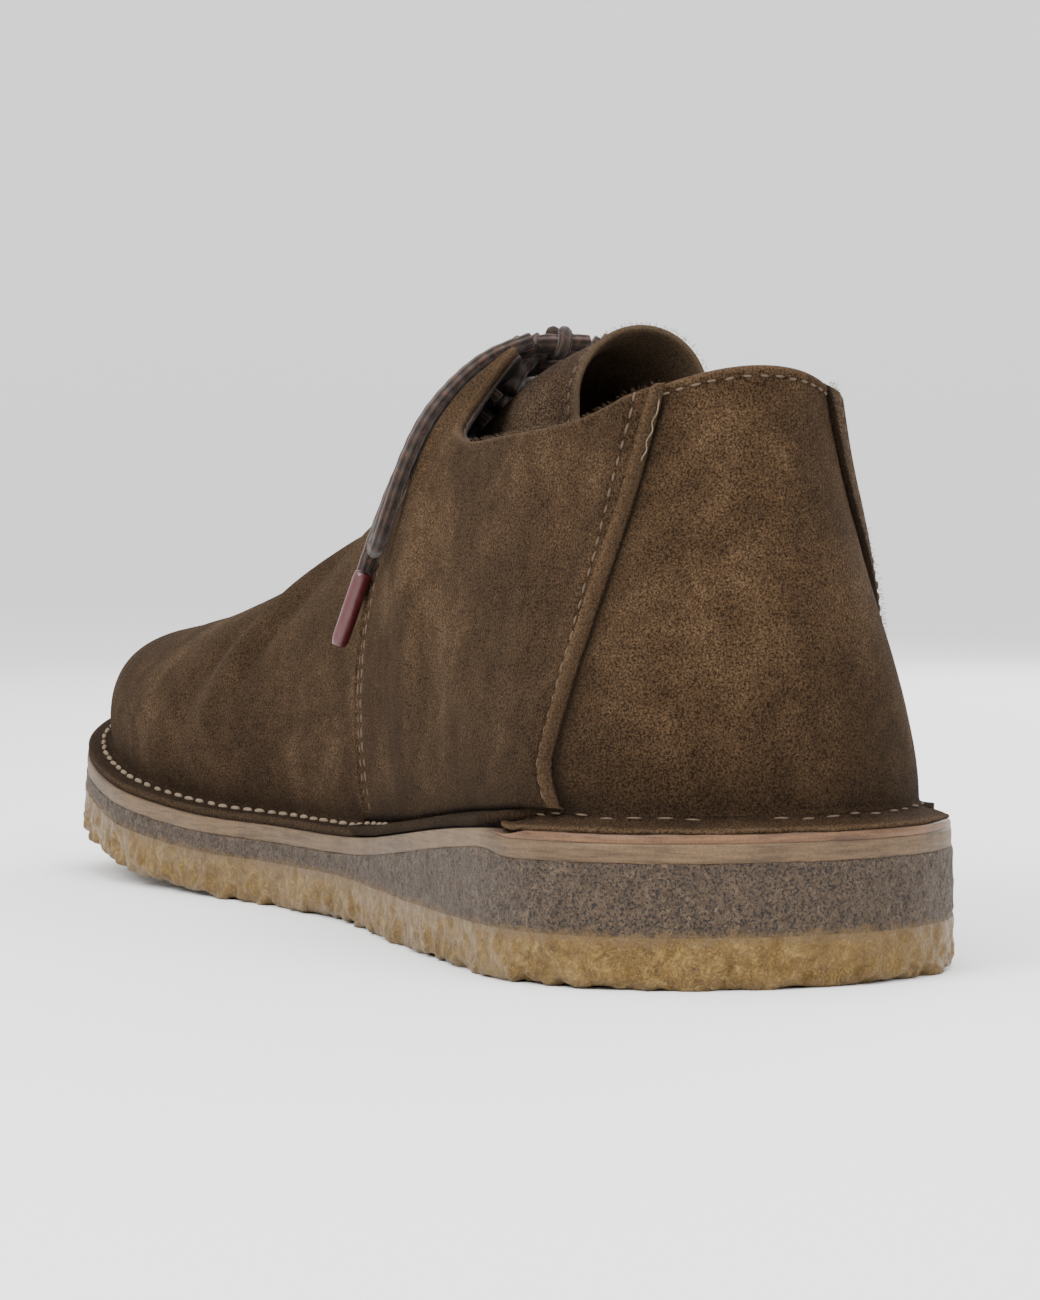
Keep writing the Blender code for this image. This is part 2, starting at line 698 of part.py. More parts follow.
def make_lacing(lace):
    """The bar over the lowest holes and the two crossings above it."""
    on_top = OVERLAY + CORD / 2 + 1.0
    radius = [CORD / 2, CORD / 2]

    def over(station, side, down):
        return wall_point(station, side, down, on_top)[0]

    def in_hole(station, side):
        return wall_point(station, side, HOLE_BACK, OVERLAY + 1.2)[0]

    low, middle, high = HOLE_ROWS
    bar = [in_hole(low, 1), over(low, 1, HOLE_BACK - 0.8), over(low, 1, 1.0),
           (over(low, 1, 0.0) + over(low, -1, 0.0)) / 2 + np.array([0, 0, 0.5]),
           over(low, -1, 1.0), over(low, -1, HOLE_BACK - 0.8), in_hole(low, -1)]
    rod("lace_bar", bar, radius, lace)
    for name, start, end in (("lace_cross_low", low - 3, middle + 1), ("lace_cross_high", middle, high + 4)):
        strands = []
        for side in (1, -1):
            middle_s = (start + end) / 2
            centre = (rim_point(middle_s, 1, 0.8, 1.0) + rim_point(middle_s, -1, 0.8, 1.0)) / 2
            centre = centre + np.array([0, 0, 1.6])
            route = [rim_point(start, side, 0.8, 0.95), centre, rim_point(end, -side, 0.8, 0.95)]
            if name == "lace_cross_high":
                centre = centre + np.array([0, 0, 0.8])
                route = [in_hole(start, side), over(start, side, HOLE_BACK - 1.5), over(start - 1, side, 0.5),
                         centre, rim_point(end, -side, 1.4, 1.5)]
            strands.append(rod(name if side == 1 else f"{name}_second", route, radius, lace))
        boolean(strands[0], strands[1], "UNION")


def make_bow(lace, tip):
    """The knot over the top of the throat, its two loops and its two tipped ends."""
    top = (wall_point(KNOT_STATION, 1, 0.0, OVERLAY)[0] + wall_point(KNOT_STATION, -1, 0.0, OVERLAY)[0]) / 2
    knot = top + np.array([0.0, 0.0, KNOT_RADIUS])
    ends = [knot + np.array([0.0, side * KNOT_HALF_LENGTH, 0.0]) for side in (-1, 1)]
    rod("lace_knot", [ends[0], (ends[0] + knot) / 2, knot, (ends[1] + knot) / 2, ends[1]],
        [1.8, KNOT_RADIUS - 0.2, KNOT_RADIUS, KNOT_RADIUS - 0.2, 1.8], lace, sides=10, spacing=2.0)
    lift = OVERLAY + GAP + CORD / 2 + 0.2
    for side, word in ((1, "inner"), (-1, "outer")):
        beside = knot + np.array([0.0, side * (KNOT_HALF_LENGTH + CORD / 2 + GAP), 0.0])
        route = [wall_point(station, side, down, lift)[0] for station, down in LOOP_ROUTE]
        cord(f"lace_loop_{word}", [beside + np.array([-2.5, 0, 0.4])] + route
             + [beside + np.array([1.5, 0.6, 0.2])], lace)
        route = [wall_point(station, side, down, lift)[0] for station, down in END_ROUTE]
        cord(f"lace_end_{word}", [knot + np.array([KNOT_RADIUS + CORD / 2 + GAP, side * 2.5, 0.8])] + route, lace)
        last = route[-1]
        heading = (route[-1] - route[-2]) / np.linalg.norm(route[-1] - route[-2])
        start = last + heading * GAP
        rod(f"aglet_{word}", [start, start + heading * AGLET[1]], [AGLET[0] / 2] * 2, tip, spacing=20.0)


def main():
    """Clear the scene and build the shoe."""
    for item in list(bpy.data.objects):
        bpy.data.objects.remove(item, do_unlink=True)
    crepe = finish_material("natural crepe", (0.36, 0.23, 0.07), 0.45)
    smoked = finish_material("smoked crepe", (0.14, 0.10, 0.08), 0.7)
    leather = finish_material("midsole leather", (0.25, 0.18, 0.12), 0.6)
    rand_leather = finish_material("rand leather", (0.30, 0.14, 0.07), 0.5)
    suede = finish_material("brown suede", (0.11, 0.065, 0.037), 0.95)
    insole_leather = finish_material("insole leather", (0.10, 0.06, 0.035), 0.6)
    make_sole(crepe, smoked, leather)
    make_rand(rand_leather)
    make_insole(insole_leather)
    upper = make_upper(suede)
    punch_holes(upper, suede)
    make_tongue(suede)
    lace = finish_material("lace", (0.13, 0.065, 0.045), 0.85)
    tip = finish_material("lace tip", (0.12, 0.015, 0.02), 0.4)
    make_lacing(lace)
    make_bow(lace, tip)


main()
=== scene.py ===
"""Looks of the right derby shoe: suede, crepe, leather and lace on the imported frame.

Sizes are in millimetres in the shoe's own directions, as in the part's source: s
forward from the back of the heel, w towards the inner (medial) side of the foot and
z up from the floor.  A point of the upper is named by its ring, from -1 at the toe
round the outer side to 0 at the heel and on round the inner side to 1, and by its
share, from 0 at the foot of the wall to 1 at its upper edge.  Shares below 0 run
out over the flange to -1 at its edge.
"""
from __future__ import annotations

import logging
import math
from collections.abc import Callable, Sequence
from dataclasses import asdict, dataclass, field
from enum import Enum
from functools import cached_property

import bmesh
import bpy
import numpy as np
from mathutils import Matrix, Vector


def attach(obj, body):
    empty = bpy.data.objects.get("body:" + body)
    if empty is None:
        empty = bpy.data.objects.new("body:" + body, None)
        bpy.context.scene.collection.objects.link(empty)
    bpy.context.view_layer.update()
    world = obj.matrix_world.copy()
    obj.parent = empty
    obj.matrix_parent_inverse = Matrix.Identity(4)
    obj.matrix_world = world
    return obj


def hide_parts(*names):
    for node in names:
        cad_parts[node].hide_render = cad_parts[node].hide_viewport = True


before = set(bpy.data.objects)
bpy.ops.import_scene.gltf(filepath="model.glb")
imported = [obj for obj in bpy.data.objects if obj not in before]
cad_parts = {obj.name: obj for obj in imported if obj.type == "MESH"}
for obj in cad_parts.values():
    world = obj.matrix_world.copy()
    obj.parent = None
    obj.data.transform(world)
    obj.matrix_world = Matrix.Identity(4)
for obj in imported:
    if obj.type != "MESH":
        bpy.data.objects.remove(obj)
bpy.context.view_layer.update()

LOG = logging.getLogger("derby_shoe")
MM = 0.001
ROOT = "root"
CORD_STEP = 0.35
BRAID_PITCH = 7.0
Colour = tuple[float, float, float]
Profile = tuple[tuple[float, float], ...]
Array = np.ndarray
Item = bpy.types.Object
Material = bpy.types.Material
Node = bpy.types.Node
Socket = bpy.types.NodeSocket
Tree = bpy.types.NodeTree


class Side(Enum):
    """The two sides of the foot."""

    INNER = 1
    OUTER = -1


# ---------------------------------------------------------------- the shoe's tables


@dataclass(frozen=True)
class Table:
    """Rows of numbers, each with its station first and then the named columns."""

    columns: tuple[str, ...]
    rows: tuple[tuple[float, ...], ...]

    def read(self, column: str, station: Array) -> Array:
        """Read a column along a smooth curve through its rows.

        Args:
            column: Name of the column.
            station: Stations to read at.

        Returns:
            The values, which never overshoot the rows'.
        """
        numbers = np.array(self.rows, dtype=float)
        xs, ys = numbers[:, 0], numbers[:, 1 + self.columns.index(column)]
        station = np.clip(station, xs[0], xs[-1])
        i = np.clip(np.searchsorted(xs, station, side="right") - 1, 0, len(xs) - 2)
        steps = np.diff(ys) / np.diff(xs)
        tangents = np.concatenate([steps[:1], np.zeros(len(xs) - 2), steps[-1:]])
        before, after = steps[:-1], steps[1:]
        turning = before * after > 0
        total = np.where(turning, before + after, 1.0)
        tangents[1:-1] = np.where(turning, 2 * before * after / total, 0.0)
        h = xs[i + 1] - xs[i]
        q = (station - xs[i]) / h
        return (ys[i] * (1 + 2 * q) * (1 - q) ** 2 + ys[i + 1] * q * q * (3 - 2 * q)
                + h * tangents[i] * q * (1 - q) ** 2 - h * tangents[i + 1] * q * q * (1 - q))


@dataclass(frozen=True)
class Crease:
    """A soft trough or ridge in the suede, placed as listed.

    It lies at a station and height, runs at an angle from the floor and fades over its
    length and width; a negative depth is a trough.
    """

    station: float
    height: float
    angle: float
    length: float
    width: float
    depth: float


SOLE = Table(("centre", "half_width"), (
    (0, 0.4, 40.9), (55, 0.7, 40.7), (90, -0.2, 40.2), (125, -2.2, 39.8), (160, -2.8, 43.6),
    (200, -0.2, 50.7), (235, 3.6, 54.3), (265, 9.0, 54.5), (300, 15.0, 52.0)))

CREST = Table(("half_width", "height"), (
    (15.5, 24.0, 98.0), (26, 24.0, 94.4), (40, 24.4, 89.5), (52, 25.2, 87.9), (66, 26.1, 86.8),
    (82, 26.6, 85.9), (97, 24.4, 88.2), (107, 11.0, 102.0), (114, 9.0, 100.2), (150, 6.5, 86.5),
    (165, 6.5, 80.5), (200, 6.5, 66.0), (228, 6.5, 57.5), (249, 6.5, 52.5), (262, 6.5, 49.5)))

PROFILES = Table(("crest", "lean", "crest_angle", "base_pull", "crest_pull"), (
    (0, 15.5, 4, 9, 0.36, 0.32), (18, 18.2, 0, 10, 0.30, 0.32), (32, 23.5, -1, 11, 0.27, 0.32),
    (54, 44.0, 2, 12, 0.32, 0.30), (86, 82.0, 8, 22, 0.38, 0.28), (98, 97.0, 9, 36, 0.42, 0.28),
    (106, 107.0, 9, 58, 0.44, 0.34), (128, 150.0, 10, 68, 0.44, 0.38), (134, 158.0, 10, 88, 0.44, 0.40),
    (160, 176.0, 12, 90, 0.42, 0.42), (200, 203.0, 14, 90, 0.40, 0.46), (240, 229.0, 13, 90, 0.42, 0.46),
    (270, 248.0, 10, 90, 0.46, 0.46), (300, 262.0, 8, 90, 0.50, 0.46)))

TONGUE_ROWS = Table(("height", "lean", "radius", "half_angle"), (
    (88.2, 106.6, 0, 12.6, 108), (89.2, 106.3, 0, 12.6, 124), (92, 105.4, 2, 12.6, 134),
    (98, 103.3, 6, 13.2, 132), (105, 100.8, 11, 14.6, 118), (114, 97.6, 18, 16.5, 92),
    (126, 93.0, 23, 18, 66), (138, 87.4, 24, 19.5, 46), (150, 82.1, 24, 22, 33),
    (160, 78.2, 24, 25, 27), (170, 75.0, 24, 26, 26)))

LOOP_ROUTE = ((111.5, 4), (109.5, 13), (107, 21), (105.2, 27.7), (105.2, 34.6), (110, 41.6),
              (121.6, 39.2), (126.8, 32.2), (125.2, 25.6), (121.3, 18), (116, 8))
END_ROUTE = ((120.5, 3.5), (122.5, 9.5), (126.5, 17), (133, 24), (140, 31), (146, 38))

CREASES = {
    Side.INNER: ((92, 58, 78, 24, 7, 0.9), (108, 50, 82, 26, 8, -0.8), (60, 44, 30, 20, 7, 0.7),
                 (74, 40, 62, 16, 6, -0.6), (45, 60, 66, 18, 6, 0.5), (30, 50, 84, 22, 8, -0.5),
                 (178, 62, 118, 24, 4, -1.4), (191, 56, 112, 24, 5, 1.0), (203, 50, 108, 22, 4, -1.3)),
    Side.OUTER: ((90, 56, 80, 24, 7, 0.8), (106, 48, 80, 24, 8, -0.8), (62, 46, 40, 20, 8, 0.6),
                 (30, 52, 84, 20, 8, -0.4), (176, 62, 116, 24, 4, -1.4), (189, 56, 110, 24, 5, 1.0),
                 (201, 50, 106, 22, 4, -1.3)),
}


# ---------------------------------------------------------------- small maths


def ramp(value: Array, start: float, end: float) -> Array:
    """0 before start, 1 after end and a smooth step between."""
    q = np.clip((np.asarray(value, dtype=float) - start) / (end - start), 0.0, 1.0)
    return q * q * (3 - 2 * q)


def mix(a: Array, b: Array, share: Array) -> Array:
    """The value a share of the way from a to b."""
    return a + (b - a) * share


def bell(value: Array, centre: float, width: float) -> Array:
    """A smooth hump, 1 at the centre and nearly gone two widths away."""
    return np.exp(-((value - centre) / width) ** 2)


def raised(plan: Array, height: Array) -> Array:
    """Points over a plan, shape (..., 3), from places (..., 2) and heights (...)."""
    return np.concatenate([plan, height[..., None]], axis=-1)


def run_along(points: Array) -> Array:
    """Distance of each point along a line from its first one."""
    return np.concatenate([[0.0], np.cumsum(np.linalg.norm(np.diff(points, axis=0), axis=1))])


def unit(vectors: Array) -> Array:
    """Vectors at length one."""
    lengths = np.linalg.norm(vectors, axis=-1, keepdims=True)
    return vectors / np.maximum(lengths, 1e-9)


def bezier(points: Array, q: Array) -> Array:
    """Points of cubic curves.

    Args:
        points: Control points, shape (..., 4, 3).
        q: Place on each curve, 0 to 1, shape (...).

    Returns:
        Points, shape (..., 3).
    """
    q = q[..., None]
    u = 1 - q
    return (points[..., 0, :] * u ** 3 + 3 * points[..., 1, :] * u * u * q
            + 3 * points[..., 2, :] * u * q * q + points[..., 3, :] * q ** 3)


def lumps(points: Array, size: float, seed: int) -> Array:
    """Smooth noise from -1 to 1 whose lumps are about size millimetres across.

    Args:
        points: Places, shape (..., 3) or (..., 2).
        size: Distance between lumps.
        seed: Fixed seed.

    Returns:
        Noise values, shape (...).
    """
    places = np.asarray(points, dtype=float) / size
    cell = np.floor(places).astype(np.int64)
    within = places - cell
    blend = within * within * within * (within * (within * 6 - 15) + 10)
    axes = places.shape[-1]
    result = np.zeros(places.shape[:-1])
    primes = (73856093, 19349663, 83492791)
    for corner in range(2 ** axes):
        key = np.full(result.shape, seed * 2654435761 % 4294967296, dtype=np.int64)
        weight = np.ones(result.shape)
        for axis in range(axes):
            bit = corner >> axis & 1
            key ^= (cell[..., axis] + bit) * primes[axis]
            weight = weight * (blend[..., axis] if bit else 1 - blend[..., axis])
        key = key & 0xFFFFFFFF
        key = (key ^ (key >> 15)) * 2246822519 & 0xFFFFFFFF
        key = (key ^ (key >> 13)) * 3266489917 & 0xFFFFFFFF
        key = key ^ (key >> 16)
        result += weight * (key / 2147483648.0 - 1.0)
    return result


def rough(points: Array, *layers: tuple[float | Array, float, int]) -> Array:
    """Noise of several sizes.

    Args:
        points: Places, as for lumps.
        *layers: Height, size and seed of each layer.

    Returns:
        The sum of the layers.
    """
    return sum(height * lumps(points, size, seed) for height, size, seed in layers)


def along_curve(points: Sequence, spacing: float) -> Array:
    """Points every spacing or so along a smooth curve through the given ones."""
    points = [np.array(point, dtype=float) for point in points]
    padded = [2 * points[0] - points[1]] + points + [2 * points[-1] - points[-2]]
    path = [points[0]]
    for a, b, c, d in zip(padded, padded[1:], padded[2:], padded[3:]):
        count = max(int(round(np.linalg.norm(c - b) / spacing)), 1)
        for k in range(1, count + 1):
            q = k / count
            path.append(0.5 * (2 * b + (c - a) * q + (2 * a - 5 * b + 4 * c - d) * q * q
                               + (3 * b - a - 3 * c + d) * q ** 3))
    return np.array(path)


# ---------------------------------------------------------------- the shoe's form
@dataclass
class ShoeForm:
    """The shared form: outline, layer heights and the surface of the upper."""

    length: float = 300.0
    heel_radius: float = 41.0
    heel_powers: tuple[float, float] = (2.0, 2.4)
    toe_start: float = 212.0
    toe_power: float = 2.2
    spring_start: float = 180.0
    toe_spring: float = 17.0
    spring_power: float = 1.8
    crepe_heel: float = 21.3
    crepe_fore: float = 12.0
    wedge_start: float = 15.0
    wedge_end: float = 145.0
    sheet: float = 8.2
    seat_drop: float = 1.5
    seat_start: float = 25.0
    seat_end: float = 37.0
    gap: float = 0.3
    midsole: float = 2.7
    flange: float = 1.7
    rand: float = 1.9
    rand_rise: float = 1.8
    rand_end: float = 32.0
    rand_inner: float = 8.2
    insole: float = 3.4
    insole_inset: float = 8.7
    rand_fillet: float = 1.2
    flange_fillet: float = 1.0
    base_inset: float = 5.8
    flange_inset: float = 0.8
    overlay: float = 1.6
    collar_back: float = 15.5
    collar_centre: float = 62.0
    throat_end: float = 156.0
    throat_round: float = 6.0
    toe_swing: float = 6.5
    cap_start: float = 258.0
    cap_slope: float = -0.26
    counter_seam: float = 32.25
    vamp_seam: float = 128.25
    hole_back: float = 7.0
    hole_rows: tuple[float, float, float] = (142.0, 128.0, 115.0)
    samples: int = 2401
    middle: Array = field(init=False)
    wall_curves: Array = field(init=False)
    foot_curves: Array = field(init=False)

    def __post_init__(self) -> None:
        """Work out the origin's place and the curves of the wall all round."""
        rings = np.linspace(-1, 1, self.samples)
        outline = self.edge(rings)
        self.middle = (outline.min(axis=0) + outline.max(axis=0)) / 2
        self.wall_curves = self.profile(rings)
        self.foot_curves = self.foot_profile(rings, self.wall_curves)

    # ---- places
    def place(self, points: Array) -> Array:
        """Shoe millimetres to metres about the origin."""
        points = np.asarray(points, dtype=float)
        return (points - np.array([self.middle[0], self.middle[1], 0.0])) * MM

    def station(self, ring: Array) -> Array:
        """Station of the outline's point at a ring position."""
        return self.length * (1 - np.cos(math.pi * np.abs(self.wrap(ring)))) / 2

    def ring_at(self, station: float, side: Side = Side.INNER) -> float:
        """Ring position whose outline point is at a station."""
        return side.value * math.acos(1 - 2 * station / self.length) / math.pi

    @staticmethod
    def wrap(ring: Array) -> Array:
        """A ring position brought back to -1..1, past the toe."""
        ring = np.asarray(ring, dtype=float)
        return np.where(np.abs(ring) <= 1.0, ring, np.mod(ring + 1.0, 2.0) - 1.0)

    # ---- heights
    def tread(self, s: Array) -> Array:
        """Underside of the crepe."""
        run = np.maximum(s - self.spring_start, 0.0) / (self.length - self.spring_start)
        return self.toe_spring * run ** self.spring_power

    def sheet_top(self, s: Array) -> Array:
        """Top of the lower crepe sheet."""
        return self.tread(s) + self.sheet

    def crepe_top(self, s: Array) -> Array:
        """Top of the crepe wedge."""
        depth = mix(self.crepe_heel, self.crepe_fore, ramp(s, self.wedge_start, self.wedge_end))
        return self.tread(s) + depth - self.seat_drop * (1 - ramp(s, self.seat_start, self.seat_end))

    def midsole_top(self, s: Array) -> Array:
        """Top of the leather midsole."""
        return self.crepe_top(s) + self.gap + self.midsole

    def seat(self, s: Array) -> Array:
        """What the flange and the rand rest on."""
        return self.midsole_top(s) + self.gap

    def base_height(self, s: Array) -> Array:
        """Foot of the upper's wall."""
        on_rand = self.seat(s) + self.rand + self.rand_rise + self.rand_fillet
        on_flange = self.seat(s) + self.flange + self.flange_fillet
        return mix(on_rand, on_flange, ramp(s, self.seat_start, self.seat_end))

    # ---- outline
    def raw_edge(self, ring: Array) -> Array:
        """The sole's outline, shape (..., 2)."""
        ring = self.wrap(ring)
        s = self.station(ring)
        heel = np.maximum(1 - s / self.heel_radius, 0.0)
        toe = np.maximum((s - self.toe_start) / (self.length - self.toe_start), 0.0)
        power = np.where(ring < 0, *self.heel_powers)
        round_end = np.maximum(1 - heel ** power, 0.0) ** (1 / power)
        round_end = round_end * np.sqrt(np.maximum(1 - toe ** self.toe_power, 0.0))
        side = np.where(ring < 0, -1.0, 1.0)
        half = side * round_end * SOLE.read("half_width", s)
        return np.stack([s, SOLE.read("centre", s) + half], axis=-1)

    def outward(self, ring: Array) -> Array:
        """Level direction out of the outline, shape (..., 2)."""
        step = 1e-3
        run = self.raw_edge(ring + step) - self.raw_edge(ring - step)
        return unit(np.stack([-run[..., 1], run[..., 0]], axis=-1))

    def edge(self, ring: Array, inset: float | Array = 0.0) -> Array:
        """The outline moved in by inset, shape (..., 2)."""
        ring = np.asarray(ring, dtype=float)
        inset = np.asarray(inset, dtype=float)[..., None]
        return self.raw_edge(ring) - self.outward(ring) * inset

    # ---- the upper's surface
    def crest_half(self, s: Array) -> Array:
        """Half width between the crests at a station of the crest."""
        width = CREST.read("half_width", s)
        collar = (self.collar_centre - s) / (self.collar_centre - self.collar_back)
        throat = (s - self.throat_end + self.throat_round) / self.throat_round
        share = np.where(s < self.collar_centre, collar, np.maximum(throat, 0.0))
        return width * np.sqrt(np.maximum(1 - np.clip(share, 0, 1) ** 2, 0.0))

    def crest_centre(self, s: Array) -> Array:
        """Swing of the crest's middle."""
        return self.toe_swing * ramp(s, self.throat_end - self.throat_round, self.length)

    def profile(self, ring: Array) -> Array:
        """Control points of the wall's curves, base to crest, shape (n, 4, 3)."""
        s = self.station(ring)
        side = np.where(ring < 0, -1.0, 1.0)
        base_plan = self.edge(ring, self.base_inset)
        base = np.concatenate([base_plan, self.base_height(s)[:, None]], axis=1)
        cs = PROFILES.read("crest", s)
        swing = self.crest_centre(cs) + side * self.crest_half(cs)
        crest = np.stack([cs, swing, CREST.read("height", cs)], axis=-1)
        chord = np.linalg.norm(crest - base, axis=-1, keepdims=True)
        lean = np.radians(PROFILES.read("lean", s))[:, None]
        out = self.outward(ring)
        start = np.concatenate([out * np.sin(lean), np.cos(lean)], axis=1)
        angle = np.radians(PROFILES.read("crest_angle", s))[:, None]
        away = unit(base[:, :2] - crest[:, :2])
        slope = (CREST.read("height", cs + 2) - CREST.read("height", cs - 2)) / 4
        slope = np.where(cs > self.cap_start, self.cap_slope, slope)
        lift = away[:, 0] * slope * ramp(cs, 100, 150)
        fall = -np.cos(angle) + np.sin(angle) * lift[:, None]
        finish = np.concatenate([away * np.sin(angle), fall], axis=1)
        base_pull = PROFILES.read("base_pull", s)[:, None]
        crest_pull = PROFILES.read("crest_pull", s)[:, None]
        return np.stack([base, base + start * chord * base_pull,
                         crest + finish * chord * crest_pull, crest], axis=1)

    def foot_profile(self, ring: Array, wall: Array) -> Array:
        """Control points of the curves from the wall's foot out to the flange's edge."""
        s = self.station(ring)
        out = ramp(s, self.rand_end - 9.0, self.rand_end + 9.0)
        base = wall[:, 0]
        down = unit(wall[:, 0] - wall[:, 1])
        on_rand = self.seat(s) + self.rand + self.rand_rise + 0.15
        on_flange = self.seat(s) + self.flange - 0.15
        level = mix(on_rand, on_flange, out)
        end_plan = self.edge(ring, mix(self.base_inset - 0.35, self.flange_inset, out))
        bend_plan = self.edge(ring, mix(self.base_inset - 0.2, self.base_inset - 1.7, out))
        end = np.concatenate([end_plan, level[:, None]], axis=1)
        bend = np.concatenate([bend_plan, (level + mix(0.3, 0.15, out))[:, None]], axis=1)
        drop = (base[:, 2] - level)[:, None]
        return np.stack([base, base + down * drop * 0.6, bend, end], axis=1)

    def skin(self, ring: Array, share: Array) -> Array:
        """Points of the upper's surface, shape (..., 3)."""
        ring, share = np.broadcast_arrays(self.wrap(ring), np.asarray(share, dtype=float))
        place = (ring + 1) / 2 * (self.samples - 1)
        i = np.clip(np.floor(place).astype(int), 0, self.samples - 2)
        f = (place - i)[..., None, None]
        wall = self.wall_curves[i] * (1 - f) + self.wall_curves[i + 1] * f
        foot = self.foot_curves[i] * (1 - f) + self.foot_curves[i + 1] * f
        on_wall = bezier(wall, np.clip(share, 0, 1))
        on_foot = bezier(foot, np.clip(-share, 0, 1))
        return np.where((share >= 0)[..., None], on_wall, on_foot)

    def normal(self, ring: Array, share: Array) -> Array:
        """Outward normals of the upper's surface, shape (..., 3)."""
        step = 0.0035
        above, below = (self.skin(ring, np.clip(share + d, -1, 1)) for d in (0.01, -0.01))
        run = self.skin(ring + step, share) - self.skin(ring - step, share)
        return unit(np.cross(above - below, run))

    def crest_ring(self, crest: float, side: Side) -> float:
        """Ring position of the column whose crest is at a station."""
        shares = np.linspace(0, 1, 601)
        crests = PROFILES.read("crest", self.station(shares))
        return side.value * float(np.interp(crest, crests, shares))

    def wall_point(self, crest: float, side: Side, down: float, lift: float) -> tuple[Array, Array]:
        """A point off the wall, and the outward normal there.

        Args:
            crest: Station of the column's crest.
            side: Side of the foot.
            down: Distance from the crest down the wall.
            lift: Height above the surface.

        Returns:
            The point and the normal.
        """
        ring = self.crest_ring(crest, side)
        shares = np.arange(1.0, 0.02, -0.005)
        points = self.skin(np.full_like(shares, ring), shares)
        far = np.linalg.norm(points - points[0], axis=1) >= down
        k = int(np.argmax(far)) if far.any() else len(shares) - 1
        here, share = np.array([ring]), np.array([shares[k]])
        normal = self.normal(here, share)[0]
        return points[k] + normal * lift, normal


FORM = ShoeForm()


# ---------------------------------------------------------------- meshes
def wall_height(ring: Array) -> Array:
    """Length of the wall from its foot to its upper edge."""
    wall = FORM.skin(ring[:, None], np.linspace(0, 1, 25)[None, :])
    return np.linalg.norm(np.diff(wall, axis=1), axis=2).sum(axis=1)


@dataclass
class Grid:
    """A panel's grid on the upper: rows from its upper edge down, columns along it."""

    ring: Array
    share: Array
    from_start: Array
    from_end: Array
    below_top: Array

    @classmethod
    def lay(cls, start: float, end: float, top: Sequence[float], rows: int, foot: Sequence[float],
            edge: Sequence[float], pitch: float) -> Grid:
        """Lay a grid between two ring positions.

        Args:
            start: Ring position of the first edge.
            end: Ring position of the last edge, above start.
            top: Distances of the first rows below the upper edge.
            rows: Rows between those and the foot of the wall.
            foot: Shares, below 0, of the rows over the flange.
            edge: Distances of the columns next to either edge from it.
            pitch: Distance between the other columns.

        Returns:
            The grid.
        """
        seeds = np.linspace(start, end, 300)
        height = wall_height(seeds)
        shares = [1 - d / height for d in top]
        shares += [(1 - top[-1] / height) * (1 - k / rows) for k in range(1, rows + 1)]
        shares += [np.full_like(height, q) for q in foot]
        runs = [run_along(FORM.skin(seeds, share)) for share in shares]
        longest = max(run[-1] for run in runs)
        near = np.array(edge, dtype=float)
        count = max(int((longest - near[-1] - near[-1]) / pitch), 2)
        grid = []
        for share, run in zip(shares, runs):
            total = run[-1]
            middle = np.linspace(near[-1], total - near[-1], count + 2)[1:-1]
            at = np.concatenate([near, middle, (total - near)[::-1]])
            below = np.interp(at, run, (1 - share) * height)
            grid.append((np.interp(at, run, seeds), np.interp(at, run, share), at, total - at, below))
        return cls(*(np.array(rows) for rows in zip(*grid)))


def link(mesh: bpy.types.Mesh, name: str) -> Item:
    """Put a mesh in the scene as an object at the origin."""
    item = bpy.data.objects.new(name, mesh)
    bpy.context.scene.collection.objects.link(item)
    return item


def band(first: Array, second: Array) -> list[list[int]]:
    """Quads between two lines of corners, or between two stacks of lines."""
    corners = [first[..., :-1], first[..., 1:], second[..., 1:], second[..., :-1]]
    return np.stack(corners, axis=-1).reshape(-1, 4).tolist()


def face_out(mesh: bpy.types.Mesh, weld: float = 0.0) -> None:
    """Weld coincident points and turn the faces of closed meshes outwards.

    Args:
        mesh: The mesh to mend.
        weld: Distance in metres under which points are joined, or 0 for none.
    """
    bm = bmesh.new()
    bm.from_mesh(mesh)
    if weld:
        bmesh.ops.remove_doubles(bm, verts=bm.verts, dist=weld)
        bmesh.ops.dissolve_degenerate(bm, edges=bm.edges, dist=weld)
    bmesh.ops.recalc_face_normals(bm, faces=bm.faces)
    bm.to_mesh(mesh)
    bm.free()


def make_piece(name: str, points: Array, faces: Sequence, finish: Finish,
               values: dict[str, Array] | None = None, weld: float | None = 0.0,
               crease: float = 0.0) -> Item:
    """Make a piece from its corners and faces.

    Args:
        name: Name of the piece.
        points: Corners in shoe millimetres.
        faces: Corners of each face.
        finish: Its finish.
        values: Numbers at the corners, which the finish reads.
        weld: Distance under which corners are joined, or None to leave all faces as they are.
        crease: Angle in degrees over which edges stay sharp, or 0 for none.

    Returns:
        The object.
    """
    mesh = bpy.data.meshes.new(name)
    mesh.from_pydata(FORM.place(points).tolist(), [], faces)
    for key, value in (values or {}).items():
        layer = mesh.attributes.new(key, "FLOAT", "POINT")
        layer.data.foreach_set("value", np.asarray(value, dtype=np.float32).ravel())
    if weld is not None:
        face_out(mesh, weld)
    mesh.materials.append(finish.material)
    mesh.shade_smooth()
    if crease:
        mesh.set_sharp_from_angle(angle=math.radians(crease))
    return link(mesh, name)


